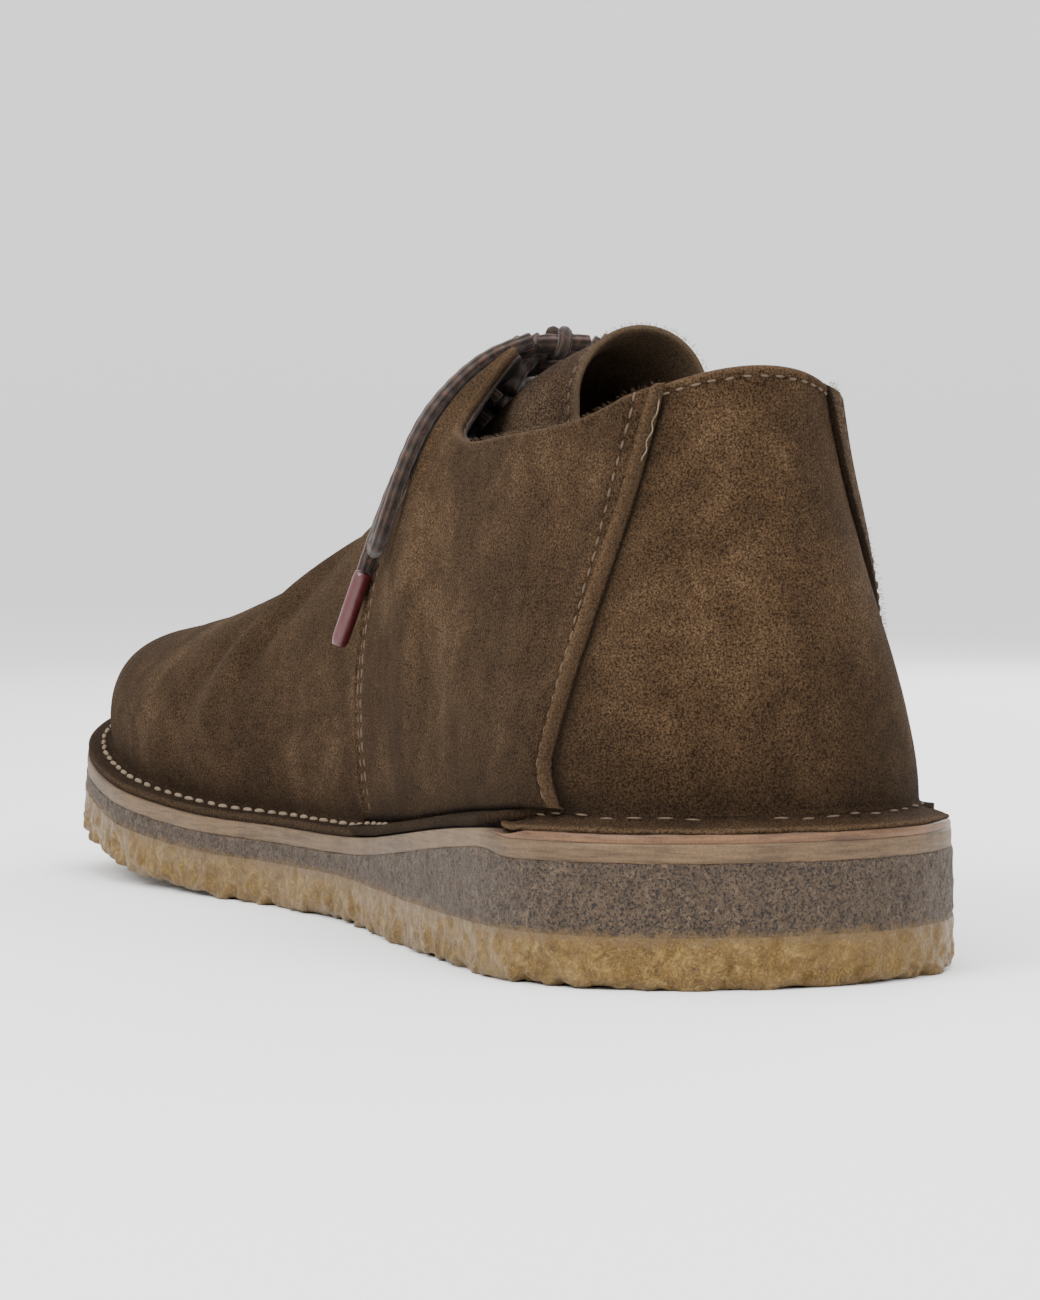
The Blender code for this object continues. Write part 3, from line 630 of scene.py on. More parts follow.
def slab(name: str, outer: Array, inner: Array, finish: Finish, values: dict[str, Array],
         inside: dict[str, Array] | None = None, ridge: Array | None = None) -> Item:
    """Make a closed panel from its outer and inner skins.

    Args:
        name: Name of the piece.
        outer: Outer skin in shoe millimetres, shape (rows, columns, 3).
        inner: Inner skin, the same shape.
        finish: Its finish.
        values: Numbers for the finish, each of shape (rows, columns).
        inside: Those that differ on the inner skin.
        ridge: For each column, whether its first row meets the column opposite.

    Returns:
        The object.
    """
    rows, columns = outer.shape[:2]
    count = rows * columns
    index = np.arange(count).reshape(rows, columns)
    if ridge is not None:
        for j in np.flatnonzero(ridge[:columns // 2]):
            mate = columns - 1 - j
            for skin in (outer, inner):
                skin[0, j] = skin[0, mate] = (skin[0, j] + skin[0, mate]) / 2
            index[0, mate] = index[0, j]
    faces = band(index[:-1], index[1:])
    faces += [[corner + count for corner in reversed(face)] for face in faces]
    for line in (index[:, 0], index[:, -1], index[-1]):
        faces += band(line, line + count)
    top = np.array(band(index[0], index[0] + count))
    faces += top.tolist() if ridge is None else top[~(ridge[:-1] & ridge[1:])].tolist()
    points = np.concatenate([outer.reshape(-1, 3), inner.reshape(-1, 3)])
    both = {key: np.concatenate([value.ravel(), (inside or {}).get(key, value).ravel()])
            for key, value in values.items()}
    return make_piece(name, points, faces, finish, both, 0.0 if ridge is None else 1e-6)


def tube(name: str, path: Array, radius: float | Array, finish: Finish, sides: int = 16,
         braid: float = 0.0) -> Item:
    """Make a closed round cord through a path.

    Args:
        name: Name of the piece.
        path: Points in shoe millimetres, shape (n, 3).
        radius: Radius, one for all or one for each point.
        finish: Its finish.
        sides: Faces round it.
        braid: Height of the braid's strands, as a share of the radius.

    Returns:
        The object, with a UV map whose u runs round it and v along it in millimetres.
    """
    path = np.asarray(path, dtype=float)
    count = len(path)
    radii = np.broadcast_to(np.asarray(radius, dtype=float), (count,))
    tangents = unit(np.gradient(path, axis=0))
    along = run_along(path)
    side = np.array([0.0, 0.0, 1.0]) if abs(tangents[0][2]) < 0.9 else np.array([1.0, 0.0, 0.0])
    angles = math.tau * np.arange(sides) / sides
    points = []
    for place, tangent, run, half in zip(path, tangents, along, radii):
        side = unit(side - tangent * np.dot(side, tangent))
        twist = math.tau * run / BRAID_PITCH
        reach = half * (1 + braid * (np.sin(4 * angles + twist) * np.sin(4 * angles - twist)))
        points.append(place + np.outer(np.cos(angles) * reach, side)
                      + np.outer(np.sin(angles) * reach, np.cross(tangent, side)))
    points += [path[:1], path[-1:]]
    index = np.arange(count * sides).reshape(count, sides)
    faces, uvs = [], []
    for k in range(count - 1):
        for a in range(sides):
            b = (a + 1) % sides
            faces.append([index[k, a], index[k, b], index[k + 1, b], index[k + 1, a]])
            u0, u1 = a / sides, (a + 1) / sides
            uvs += [(u0, along[k]), (u1, along[k]), (u1, along[k + 1]), (u0, along[k + 1])]
    for tip, row, turn in ((count * sides, 0, -1), (count * sides + 1, count - 1, 1)):
        for a in range(sides):
            faces.append([index[row, a], index[row, (a + 1) % sides], tip][::turn])
            uvs += [(a / sides, along[row])] * 3
    item = make_piece(name, np.concatenate(points), faces, finish, weld=None)
    layer = item.data.uv_layers.new(name="braid")
    layer.data.foreach_set("uv", np.array(uvs, dtype=np.float32).ravel())
    return item


def baked(item: Item, name: str) -> Item:
    """Turn an object's evaluated shape into a plain mesh and drop the old object."""
    bpy.context.view_layer.update()
    graph = bpy.context.evaluated_depsgraph_get()
    mesh = bpy.data.meshes.new_from_object(item.evaluated_get(graph), depsgraph=graph)
    mesh.name = name
    bpy.data.objects.remove(item, do_unlink=True)
    return link(mesh, name)


def adopt(piece: Item, slot: str, *nodes: str) -> None:
    """Let a piece ride on the shoe and stand for its nodes."""
    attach(piece, ROOT)
    if nodes:
        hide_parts(*nodes)
    LOG.info("%s: %d triangles", piece.name, sum(len(face.vertices) - 2 for face in piece.data.polygons))


# ---------------------------------------------------------------- node workbench
@dataclass
class Bench:
    """Adds nodes to a tree, from left to right."""

    tree: Tree
    column: int = 0

    def add(self, kind: str, inputs: dict[int | str, object] | None = None, **settings: object) -> Node:
        """Add a node.

        Args:
            kind: Its type.
            inputs: Sources or constants by the place or name of the socket.
            **settings: Its properties.

        Returns:
            The node.
        """
        node = self.tree.nodes.new(kind)
        self.column += 1
        node.location = (self.column * 180 - 2400, -(self.column % 5) * 160)
        for key, value in settings.items():
            setattr(node, key, value)
        for key, source in (inputs or {}).items():
            self.feed(node.inputs[key], source)
        return node

    def feed(self, socket: Socket, source: object) -> None:
        """Link a source to a socket, or set its value if the source is a constant."""
        source = source.socket if isinstance(source, Wire) else source
        if isinstance(source, Socket):
            self.tree.links.new(source, socket)
        elif isinstance(source, tuple) and socket.type == "RGBA":
            socket.default_value = (*source, 1.0)
        else:
            socket.default_value = source

    def math(self, operation: str, a: object, b: object = 0.0) -> Wire:
        """A Math node's result."""
        return Wire(self, self.add("ShaderNodeMath", {0: a, 1: b}, operation=operation).outputs[0])

    def blend(self, share: object, a: object, b: object, mode: str = "MIX") -> Wire:
        """A colour mixed from two."""
        node = self.add("ShaderNodeMix", {0: share, 6: a, 7: b}, data_type="RGBA", blend_type=mode)
        return Wire(self, node.outputs[2])

    def shaded(self, colour: Wire, shade: Wire) -> Wire:
        """A colour made lighter or darker by a number."""
        grey = self.add("ShaderNodeCombineXYZ", {0: shade, 1: shade, 2: shade})
        return self.blend(1.0, colour, grey.outputs[0], "MULTIPLY")

    def noise(self, vector: object, scale: object, detail: float = 2.0, roughness: float = 0.5,
              distortion: float = 0.0) -> Wire:
        """A Noise Texture's value."""
        node = self.add("ShaderNodeTexNoise", {"Vector": vector, "Scale": scale, "Detail": detail,
                                               "Roughness": roughness, "Distortion": distortion})
        return Wire(self, node.outputs["Fac"])

    def stretch(self, vector: object, scale: tuple[float, float, float]) -> Socket:
        """Coordinates stretched by a Mapping node."""
        return self.add("ShaderNodeMapping", {"Vector": vector, "Scale": scale}).outputs["Vector"]

    def attribute(self, name: str) -> Wire:
        """A number stored on the mesh."""
        return Wire(self, self.add("ShaderNodeAttribute", attribute_name=name).outputs["Fac"])


@dataclass(frozen=True)
class Wire:
    """A value in a shader tree; sums and products of wires add Math nodes."""

    bench: Bench
    socket: Socket

    def __add__(self, other: object) -> Wire:
        """The sum."""
        return self.bench.math("ADD", self, other)

    def __sub__(self, other: object) -> Wire:
        """The difference."""
        return self.bench.math("SUBTRACT", self, other)

    def __mul__(self, other: object) -> Wire:
        """The product."""
        return self.bench.math("MULTIPLY", self, other)

    def clamped(self) -> Wire:
        """The result of the last Math node, kept between 0 and 1."""
        self.socket.node.use_clamp = True
        return self

    def span(self, low: float, high: float, to_low: float = 0.0, to_high: float = 1.0) -> Wire:
        """The value brought from one range to another, smoothly and clamped."""
        node = self.bench.add("ShaderNodeMapRange", {"Value": self, "From Min": low, "From Max": high,
                                                     "To Min": to_low, "To Max": to_high},
                              interpolation_type="SMOOTHSTEP")
        return Wire(self.bench, node.outputs["Result"])


@dataclass(frozen=True)
class Effect:
    """A shader node group with named inputs and outputs, built once."""

    name: str
    inputs: dict[str, str]
    outputs: dict[str, str]
    draw: Callable[[Bench, dict[str, Wire]], dict[str, Wire]]

    def tree(self) -> Tree:
        """The group's tree, made on its first use."""
        if self.name in bpy.data.node_groups:
            return bpy.data.node_groups[self.name]
        tree = bpy.data.node_groups.new(self.name, "ShaderNodeTree")
        for way, sockets in (("INPUT", self.inputs), ("OUTPUT", self.outputs)):
            for key, kind in sockets.items():
                tree.interface.new_socket(key, in_out=way, socket_type=kind)
        bench = Bench(tree)
        entry = bench.add("NodeGroupInput")
        given = {socket.name: Wire(bench, socket) for socket in entry.outputs if socket.name}
        bench.add("NodeGroupOutput", self.draw(bench, given))
        return tree

    def use(self, bench: Bench, **values: object) -> dict[str, Wire]:
        """Place the group in a material, with its own values.

        Args:
            bench: The material's bench.
            **values: Inputs by name, with _ for each space.

        Returns:
            The group's outputs by name.
        """
        inputs = {key.replace("_", " "): value for key, value in values.items()}
        node = bench.add("ShaderNodeGroup", inputs, node_tree=self.tree())
        return {socket.name: Wire(bench, socket) for socket in node.outputs}


COLOUR, NUMBER, VECTOR = "NodeSocketColor", "NodeSocketFloat", "NodeSocketVector"


def draw_nap(bench: Bench, given: dict[str, Wire]) -> dict[str, Wire]:
    """Suede nap: hand-brushed patches, speckle, pale raw edges and painted shade towards the shadow colour.
    """
    where, grain = given["Vector"], given["Grain Scale"]
    patches = bench.noise(where, given["Patch Scale"], 3.0, 0.55, 0.6)
    mottle = bench.noise(where, 150.0, 3.0, 0.6, 0.5)
    brushed = bench.noise(bench.stretch(where, (1.0, 1.0, 0.5)), 260.0, 2.0, 0.6, 0.4)
    speckle = bench.noise(where, grain, 3.0, 0.7)
    pinpoint = bench.noise(where, grain * 1.6, 1.0, 0.5)
    tone = patches.span(0.3, 0.72) * 0.62 + mottle.span(0.3, 0.72) * 0.26 + brushed.span(0.3, 0.7) * 0.12
    colour = bench.blend(tone.span(0.05, 0.6), given["Dark"], given["Middle"])
    colour = bench.blend(tone.span(0.45, 1.0), colour, given["Light"])
    colour = bench.shaded(colour, speckle.span(0.33, 0.67, 0.3, 1.8) * pinpoint.span(0.3, 0.75, 0.72, 1.4))
    # Painted shade: the shading amount from the mesh, broken up by the patches, darkens the suede towards
    # the shadow colour.
    soil = (given["Soil"] * patches.span(0.2, 0.7, 0.7, 1.0)).clamped()
    colour = bench.blend(soil, colour, given["Shadow"])
    ragged = (given["Worn"] + speckle.span(0.3, 0.7, -0.25, 0.25)).clamped()
    ragged = ragged * bench.math("GREATER_THAN", given["Worn"], 0.02)
    colour = bench.blend(ragged, colour, given["Edge"])
    return {"Colour": colour, "Height": speckle * 0.8 + pinpoint * 0.35 + mottle * 0.5}


NAP = Effect(
    "suede_nap",
    {"Vector": VECTOR, "Dark": COLOUR, "Middle": COLOUR, "Light": COLOUR, "Edge": COLOUR, "Shadow": COLOUR,
     "Worn": NUMBER, "Soil": NUMBER, "Patch Scale": NUMBER, "Grain Scale": NUMBER},
    {"Colour": COLOUR, "Height": NUMBER}, draw_nap)


def draw_crumb(bench: Bench, given: dict[str, Wire]) -> dict[str, Wire]:
    """Crepe rubber: clotted, translucent-looking crumbs with darker hollows."""
    where, clot_scale, pit_scale = given["Vector"], given["Clot Scale"], given["Pit Scale"]
    clots = bench.noise(where, clot_scale, 4.0, 0.62, 1.2)
    fibres = bench.noise(where, clot_scale * 3.1, 4.0, 0.7, 2.0)
    broad = bench.noise(where, 45.0, 2.0, 0.5)
    pits = bench.noise(where, pit_scale, 2.0, 0.6, 0.3)
    cells = bench.add("ShaderNodeTexVoronoi", {"Vector": where, "Scale": pit_scale * 0.8})
    holes = Wire(bench, cells.outputs["Distance"])
    tone = clots * 0.6 + fibres * 0.4
    colour = bench.blend(tone.span(0.34, 0.52), given["Dark"], given["Middle"])
    colour = bench.blend(tone.span(0.50, 0.68), colour, given["Light"])
    colour = bench.blend(broad.span(0.35, 0.7, 0.0, 0.35), colour, given["Middle"])
    hollow = holes.span(0.15, 0.34, 1.0, 0.0) * fibres.span(0.42, 0.56)
    hollow = bench.math("MAXIMUM", hollow, pits.span(0.52, 0.62)) * given["Pits"]
    colour = bench.blend(hollow, colour, given["Pit Colour"])
    # Painted glints: small pale specks stand in for highlights on the crumbs.
    glints = bench.noise(where, pit_scale * 1.3, 1.0, 0.5)
    glints = (glints.span(0.62, 0.7) * bench.math("SUBTRACT", 0.6, hollow)).clamped()
    colour = bench.blend(glints, colour, given["Light"])
    return {"Colour": colour, "Height": tone - hollow * 0.6, "Tone": tone}


CRUMB = Effect(
    "crepe_crumb",
    {"Vector": VECTOR, "Dark": COLOUR, "Middle": COLOUR, "Light": COLOUR, "Pit Colour": COLOUR,
     "Pits": NUMBER, "Clot Scale": NUMBER, "Pit Scale": NUMBER},
    {"Colour": COLOUR, "Height": NUMBER, "Tone": NUMBER}, draw_crumb)


def draw_hide(bench: Bench, given: dict[str, Wire]) -> dict[str, Wire]:
    """Leather: level fibre streaks on a cut edge, with stains and fine pores."""
    where = given["Vector"]
    streaks = bench.noise(bench.stretch(where, (1.0, 1.0, 14.0)), 130.0, 4.0, 0.65, 0.3)
    stains = bench.noise(where, 70.0, 3.0, 0.6, 0.5)
    pores = bench.noise(where, 2400.0, 2.0, 0.6)
    tone = streaks * 0.6 + stains * 0.4
    colour = bench.blend(tone.span(0.36, 0.62), given["Dark"], given["Light"])
    colour = bench.shaded(colour, pores.span(0.3, 0.7, 0.82, 1.12))
    return {"Colour": colour, "Height": streaks * 0.6 + pores * 0.4}


HIDE = Effect("leather_hide", {"Vector": VECTOR, "Dark": COLOUR, "Light": COLOUR},
              {"Colour": COLOUR, "Height": NUMBER}, draw_hide)


def draw_braid(bench: Bench, given: dict[str, Wire]) -> dict[str, Wire]:
    """Round braid: two sets of strands that cross, with flecks of a second yarn."""
    split = bench.add("ShaderNodeSeparateXYZ", {0: given["UV"]})
    turn = Wire(bench, split.outputs[0]) * (math.tau * 4)
    travel = Wire(bench, split.outputs[1]) * (math.tau / BRAID_PITCH)
    weave = bench.math("SINE", turn + travel) * bench.math("SINE", turn - travel)
    hairs = bench.noise(given["Vector"], 3600.0, 3.0, 0.7)
    flecks = bench.noise(given["Vector"], 900.0, 1.0, 0.5)
    colour = bench.blend(weave.span(-0.7, 0.6), given["Dark"], given["Light"])
    colour = bench.blend(flecks.span(0.58, 0.64, 0.0, 0.65), colour, given["Fleck"])
    return {"Colour": colour, "Height": weave + hairs * 0.7}


BRAID = Effect(
    "lace_braid",
    {"UV": VECTOR, "Vector": VECTOR, "Dark": COLOUR, "Light": COLOUR, "Fleck": COLOUR},
    {"Colour": COLOUR, "Height": NUMBER}, draw_braid)


# ---------------------------------------------------------------- finishes
class Blank(Bench):
    """A new material's bench, with the constants set on its shader."""

    def __init__(self, name: str, **constants: object) -> None:
        """Start a material.

        Args:
            name: Its name.
            **constants: Principled BSDF inputs by name, with _ for each space.
        """
        self.material = bpy.data.materials.new(name)
        self.material.use_nodes = True
        super().__init__(self.material.node_tree)
        self.set(**constants)

    def set(self, **sources: object) -> None:
        """Feed the shader's inputs, named with _ for each space."""
        shader = self.tree.nodes["Principled BSDF"]
        for key, source in sources.items():
            self.feed(shader.inputs[key.replace("_", " ")], source)

    def where(self, kind: str = "Object") -> Socket:
        """Object coordinates, or another kind."""
        return self.add("ShaderNodeTexCoord").outputs[kind]

    def dressed(self, colour: Wire, height: Wire, strength: float, distance: float) -> Material:
        """The material, with its colour and its relief through a Bump node."""
        bump = self.add("ShaderNodeBump", {"Strength": strength, "Distance": distance, "Height": height})
        self.set(Base_Color=colour, Normal=bump.outputs[0])
        return self.material


class Finish:
    """A finish, whose material is made on its first use."""

    @cached_property
    def material(self) -> Material:
        """The finish's material."""
        return self.build()


@dataclass(frozen=True)
class Suede(Finish):
    """Brushed suede."""

    name: str
    dark: Colour
    middle: Colour
    light: Colour
    edge: Colour
    shadow: Colour
    patch_scale: float = 46.0
    grain_scale: float = 2700.0
    sheen: float = 0.01
    sheen_tint: Colour = (0.75, 0.62, 0.5)

    def build(self) -> Material:
        """Make the material."""
        blank = Blank(self.name, Roughness=0.96, Specular_IOR_Level=0.05, Sheen_Weight=self.sheen,
                      Sheen_Roughness=0.55, Sheen_Tint=self.sheen_tint)
        nap = NAP.use(blank, Vector=blank.where(), Dark=self.dark, Middle=self.middle, Light=self.light,
                      Edge=self.edge, Shadow=self.shadow, Worn=blank.attribute("worn"),
                      Soil=blank.attribute("soil"), Patch_Scale=self.patch_scale,
                      Grain_Scale=self.grain_scale)
        return blank.dressed(nap["Colour"], nap["Height"], 0.75, 0.0013)


@dataclass(frozen=True)
class Crepe(Finish):
    """Crepe rubber, whose colour changes over a soft line where two layers meet."""

    name: str
    dark: Colour
    middle: Colour
    light: Colour
    pit: Colour
    pits: float
    clot_scale: float
    roughness: float
    glow: float
    pit_scale: float = 2150.0
    other: Colour = (0.125, 0.074, 0.026)

    def build(self) -> Material:
        """Make the material."""
        blank = Blank(self.name, Specular_IOR_Level=0.4, Subsurface_Weight=self.glow,
                      Subsurface_Scale=0.004, Subsurface_Radius=(1.0, 0.6, 0.25))
        where = blank.where()
        crumb = CRUMB.use(blank, Vector=where, Dark=self.dark, Middle=self.middle, Light=self.light,
                          Pit_Colour=self.pit, Pits=self.pits, Clot_Scale=self.clot_scale,
                          Pit_Scale=self.pit_scale)
        ragged = blank.noise(where, 330.0, 4.0, 0.7)
        near = blank.attribute("near_other") + ragged.span(0.25, 0.75, -0.5, 0.5)
        colour = blank.blend(near.span(0.25, 1.15, 0.0, 0.9), crumb["Colour"], self.other)
        # Painted shade: where the mesh asks for shade, the colour turns towards the dark pit colour, broken
        # up by noise.
        soil = blank.attribute("soil") * ragged.span(0.3, 0.62, 0.35, 1.0)
        colour = blank.blend(soil, colour, self.pit)
        blank.set(Roughness=crumb["Tone"].span(0.35, 0.68, self.roughness + 0.12, self.roughness - 0.1))
        return blank.dressed(colour, crumb["Height"], 0.8, 0.0015)


@dataclass(frozen=True)
class Leather(Finish):
    """Plain leather, cut or smooth."""

    name: str
    dark: Colour
    light: Colour
    roughness: float
    relief: float = 0.35
    soil: Colour = (0.045, 0.03, 0.022)

    def build(self) -> Material:
        """Make the material."""
        blank = Blank(self.name, Roughness=self.roughness, Specular_IOR_Level=0.35)
        hide = HIDE.use(blank, Vector=blank.where(), Dark=self.dark, Light=self.light)
        # Painted shade: the colour turns towards a dark brown where the mesh asks for shade.
        colour = blank.blend(blank.attribute("soil"), hide["Colour"], self.soil)
        return blank.dressed(colour, hide["Height"], self.relief, 0.0005)


@dataclass(frozen=True)
class Thread(Finish):
    """Sewing thread."""

    name: str
    colour: Colour

    def build(self) -> Material:
        """Make the material."""
        blank = Blank(self.name, Roughness=0.8, Specular_IOR_Level=0.25)
        hairs = blank.noise(blank.where(), 5200.0, 2.0, 0.6)
        stains = blank.noise(blank.where(), 120.0, 2.0, 0.6)
        deep = tuple(0.5 * c for c in self.colour)
        tone = hairs.span(0.3, 0.65, 0.3, 1.0) * stains.span(0.3, 0.6, 0.75, 1.0)
        return blank.dressed(blank.blend(tone, deep, self.colour), hairs, 0.4, 0.0002)


@dataclass(frozen=True)
class Lace(Finish):
    """Round braided lace."""

    name: str
    dark: Colour
    light: Colour
    fleck: Colour

    def build(self) -> Material:
        """Make the material."""
        blank = Blank(self.name, Roughness=0.85, Specular_IOR_Level=0.25, Sheen_Weight=0.15,
                      Sheen_Roughness=0.5)
        braid = BRAID.use(blank, UV=blank.where("UV"), Vector=blank.where(), Dark=self.dark,
                          Light=self.light, Fleck=self.fleck)
        return blank.dressed(braid["Colour"], braid["Height"], 0.6, 0.0004)


@dataclass(frozen=True)
class LaceTip(Finish):
    """Plastic film wound round the lace's end."""

    name: str
    colour: Colour

    def build(self) -> Material:
        """Make the material."""
        blank = Blank(self.name, Coat_Weight=0.3, Coat_Roughness=0.25)
        scuffs = blank.noise(blank.stretch(blank.where(), (1.0, 1.0, 0.3)), 900.0, 3.0, 0.6)
        pale = tuple(min(1.0, 1.7 * c + 0.02) for c in self.colour)
        blank.set(Roughness=scuffs.span(0.3, 0.7, 0.3, 0.5))
        colour = blank.blend(scuffs.span(0.5, 0.75, 0.0, 0.6), self.colour, pale)
        return blank.dressed(colour, scuffs, 0.3, 0.0002)


SUEDE = Suede("brown suede", (0.0300, 0.0176, 0.0088), (0.0450, 0.0267, 0.0135), (0.0680, 0.0417, 0.0218),
              (0.100, 0.062, 0.035), (0.0070, 0.0043, 0.0027))
FLESH_SIDE = Suede("tongue suede", (0.027, 0.0172, 0.0108), (0.043, 0.0275, 0.0172), (0.062, 0.0410, 0.0260),
                   (0.098, 0.066, 0.041), (0.006, 0.004, 0.003))
LINING = Leather("dark lining", (0.016, 0.0105, 0.0075), (0.034, 0.022, 0.0155), 0.75, 0.3)
NATURAL = Crepe("natural crepe", (0.068, 0.033, 0.0045), (0.150, 0.084, 0.0150), (0.31, 0.200, 0.058),
                (0.04, 0.022, 0.005), 0.3, 330.0, 0.40, 0.12)
SMOKED = Crepe("smoked crepe", (0.037, 0.0228, 0.0124), (0.0670, 0.0420, 0.0236), (0.138, 0.0895, 0.0505),
               (0.012, 0.008, 0.005), 1.0, 480.0, 0.66, 0.03)
MIDSOLE = Leather("midsole leather", (0.056, 0.0325, 0.0147), (0.119, 0.0725, 0.0345), 0.6)
RAND = Leather("rand leather", (0.056, 0.026, 0.0115), (0.145, 0.071, 0.030), 0.5)
SOCK = Leather("insole leather", (0.040, 0.024, 0.015), (0.072, 0.045, 0.028), 0.55, 0.25)
SEAM_THREAD = Thread("seam thread", (0.112, 0.076, 0.049))
WELT_THREAD = Thread("welt thread", (0.20, 0.148, 0.100))
NAP_FIBRE = Thread("nap fibre", (0.125, 0.085, 0.055))
LACE = Lace("braided lace", (0.013, 0.0078, 0.0055), (0.036, 0.0208, 0.0140), (0.066, 0.025, 0.017))
TIP = LaceTip("lace tip", (0.062, 0.0075, 0.0095))


# ---------------------------------------------------------------- the sole
@dataclass
class Layer:
    """Cross-sections of a sole layer, each from its top edge inside, under it and up outside.

    The points have the shape (columns, rows, 3).  A row's mark is its share across the
    underside, from 1 inside to -1 outside; on the sides it is 2 or -2.
    """

    rings: Array
    points: Array
    marks: Array

    @classmethod
    def lay(cls, columns: int, levels: Sequence[tuple[float, Callable]], bottom: int) -> Layer:
        """Lay the sections out.

        Args:
            columns: Sections along the sole.
            levels: Inset and height function of each row of the side, top first.
            bottom: Rows across the underside.

        Returns:
            The layer.
        """
        rings = np.linspace(0, 1, columns)
        rims = []
        for side in (1, -1):
            plans = [(FORM.edge(rings * side, inset), height) for inset, height in levels]
            rims.append([raised(plan, height(plan[:, 0])) for plan, height in plans])
        inner, outer = rims
        shares = np.linspace(1, -1, bottom + 2)[1:-1]
        plans = [mix(outer[-1][:, :2], inner[-1][:, :2], (share + 1) / 2) for share in shares]
        across = [raised(plan, levels[-1][1](plan[:, 0])) for plan in plans]
        marks = np.concatenate([np.full(len(inner), 2.0), shares, np.full(len(outer), -2.0)])
        return cls(rings, np.stack(inner + across + outer[::-1], axis=1), marks)

    @property
    def on_side(self) -> Array:
        """Whether each row lies on a side."""
        return np.abs(self.marks) > 1.5

    @property
    def above(self) -> Array:
        """Heights of the points above the tread."""
        return self.points[..., 2] - FORM.tread(self.points[..., 0])

    def pushed(self, push: Array) -> Array:
        """The points, with those of the sides moved outwards by push."""
        inner, outer = FORM.outward(self.rings)[:, None], FORM.outward(-self.rings)[:, None]
        out = self.points.copy()
        facing = np.where((self.marks > 0)[:, None], inner, outer)
        out[..., :2] += facing * (push * self.on_side)[..., None]
        return out


def wrap_sections(name: str, points: Array, finish: Finish, values: dict[str, Array]) -> Item:
    """Join cross-sections into a closed layer, its top spanned by strips.

    Args:
        name: Name of the piece.
        points: Sections, shape (columns, rows, 3).
        finish: Its finish.
        values: Numbers for the finish, each of shape (columns, rows).

    Returns:
        The object.
    """
    index = np.arange(points[..., 0].size).reshape(points.shape[:2])
    quads = band(index[:-1], index[1:]) + band(index[:, 0], index[:, -1])
    faces = [[a, d, c, b] for a, b, c, d in quads]
    return make_piece(name, points.reshape(-1, 3), faces, finish, values, 2e-6, 60)


def closed_strip(name: str, points: Array, finish: Finish, values: dict[str, Array]) -> Item:
    """Join round cross-sections into a closed strip.

    Args:
        name: Name of the piece.
        points: Sections, shape (columns, rows, 3), each a closed loop.
        finish: Its finish.
        values: Numbers for the finish, each of shape (columns, rows).

    Returns:
        The object.
    """
    index = np.arange(points[..., 0].size).reshape(points.shape[:2])
    closed = np.concatenate([index, index[:, :1]], axis=1)
    faces = band(closed[:-1], closed[1:]) + [index[0].tolist(), index[-1].tolist()]
    return make_piece(name, points.reshape(-1, 3), faces, finish, values, 0.0, 55)


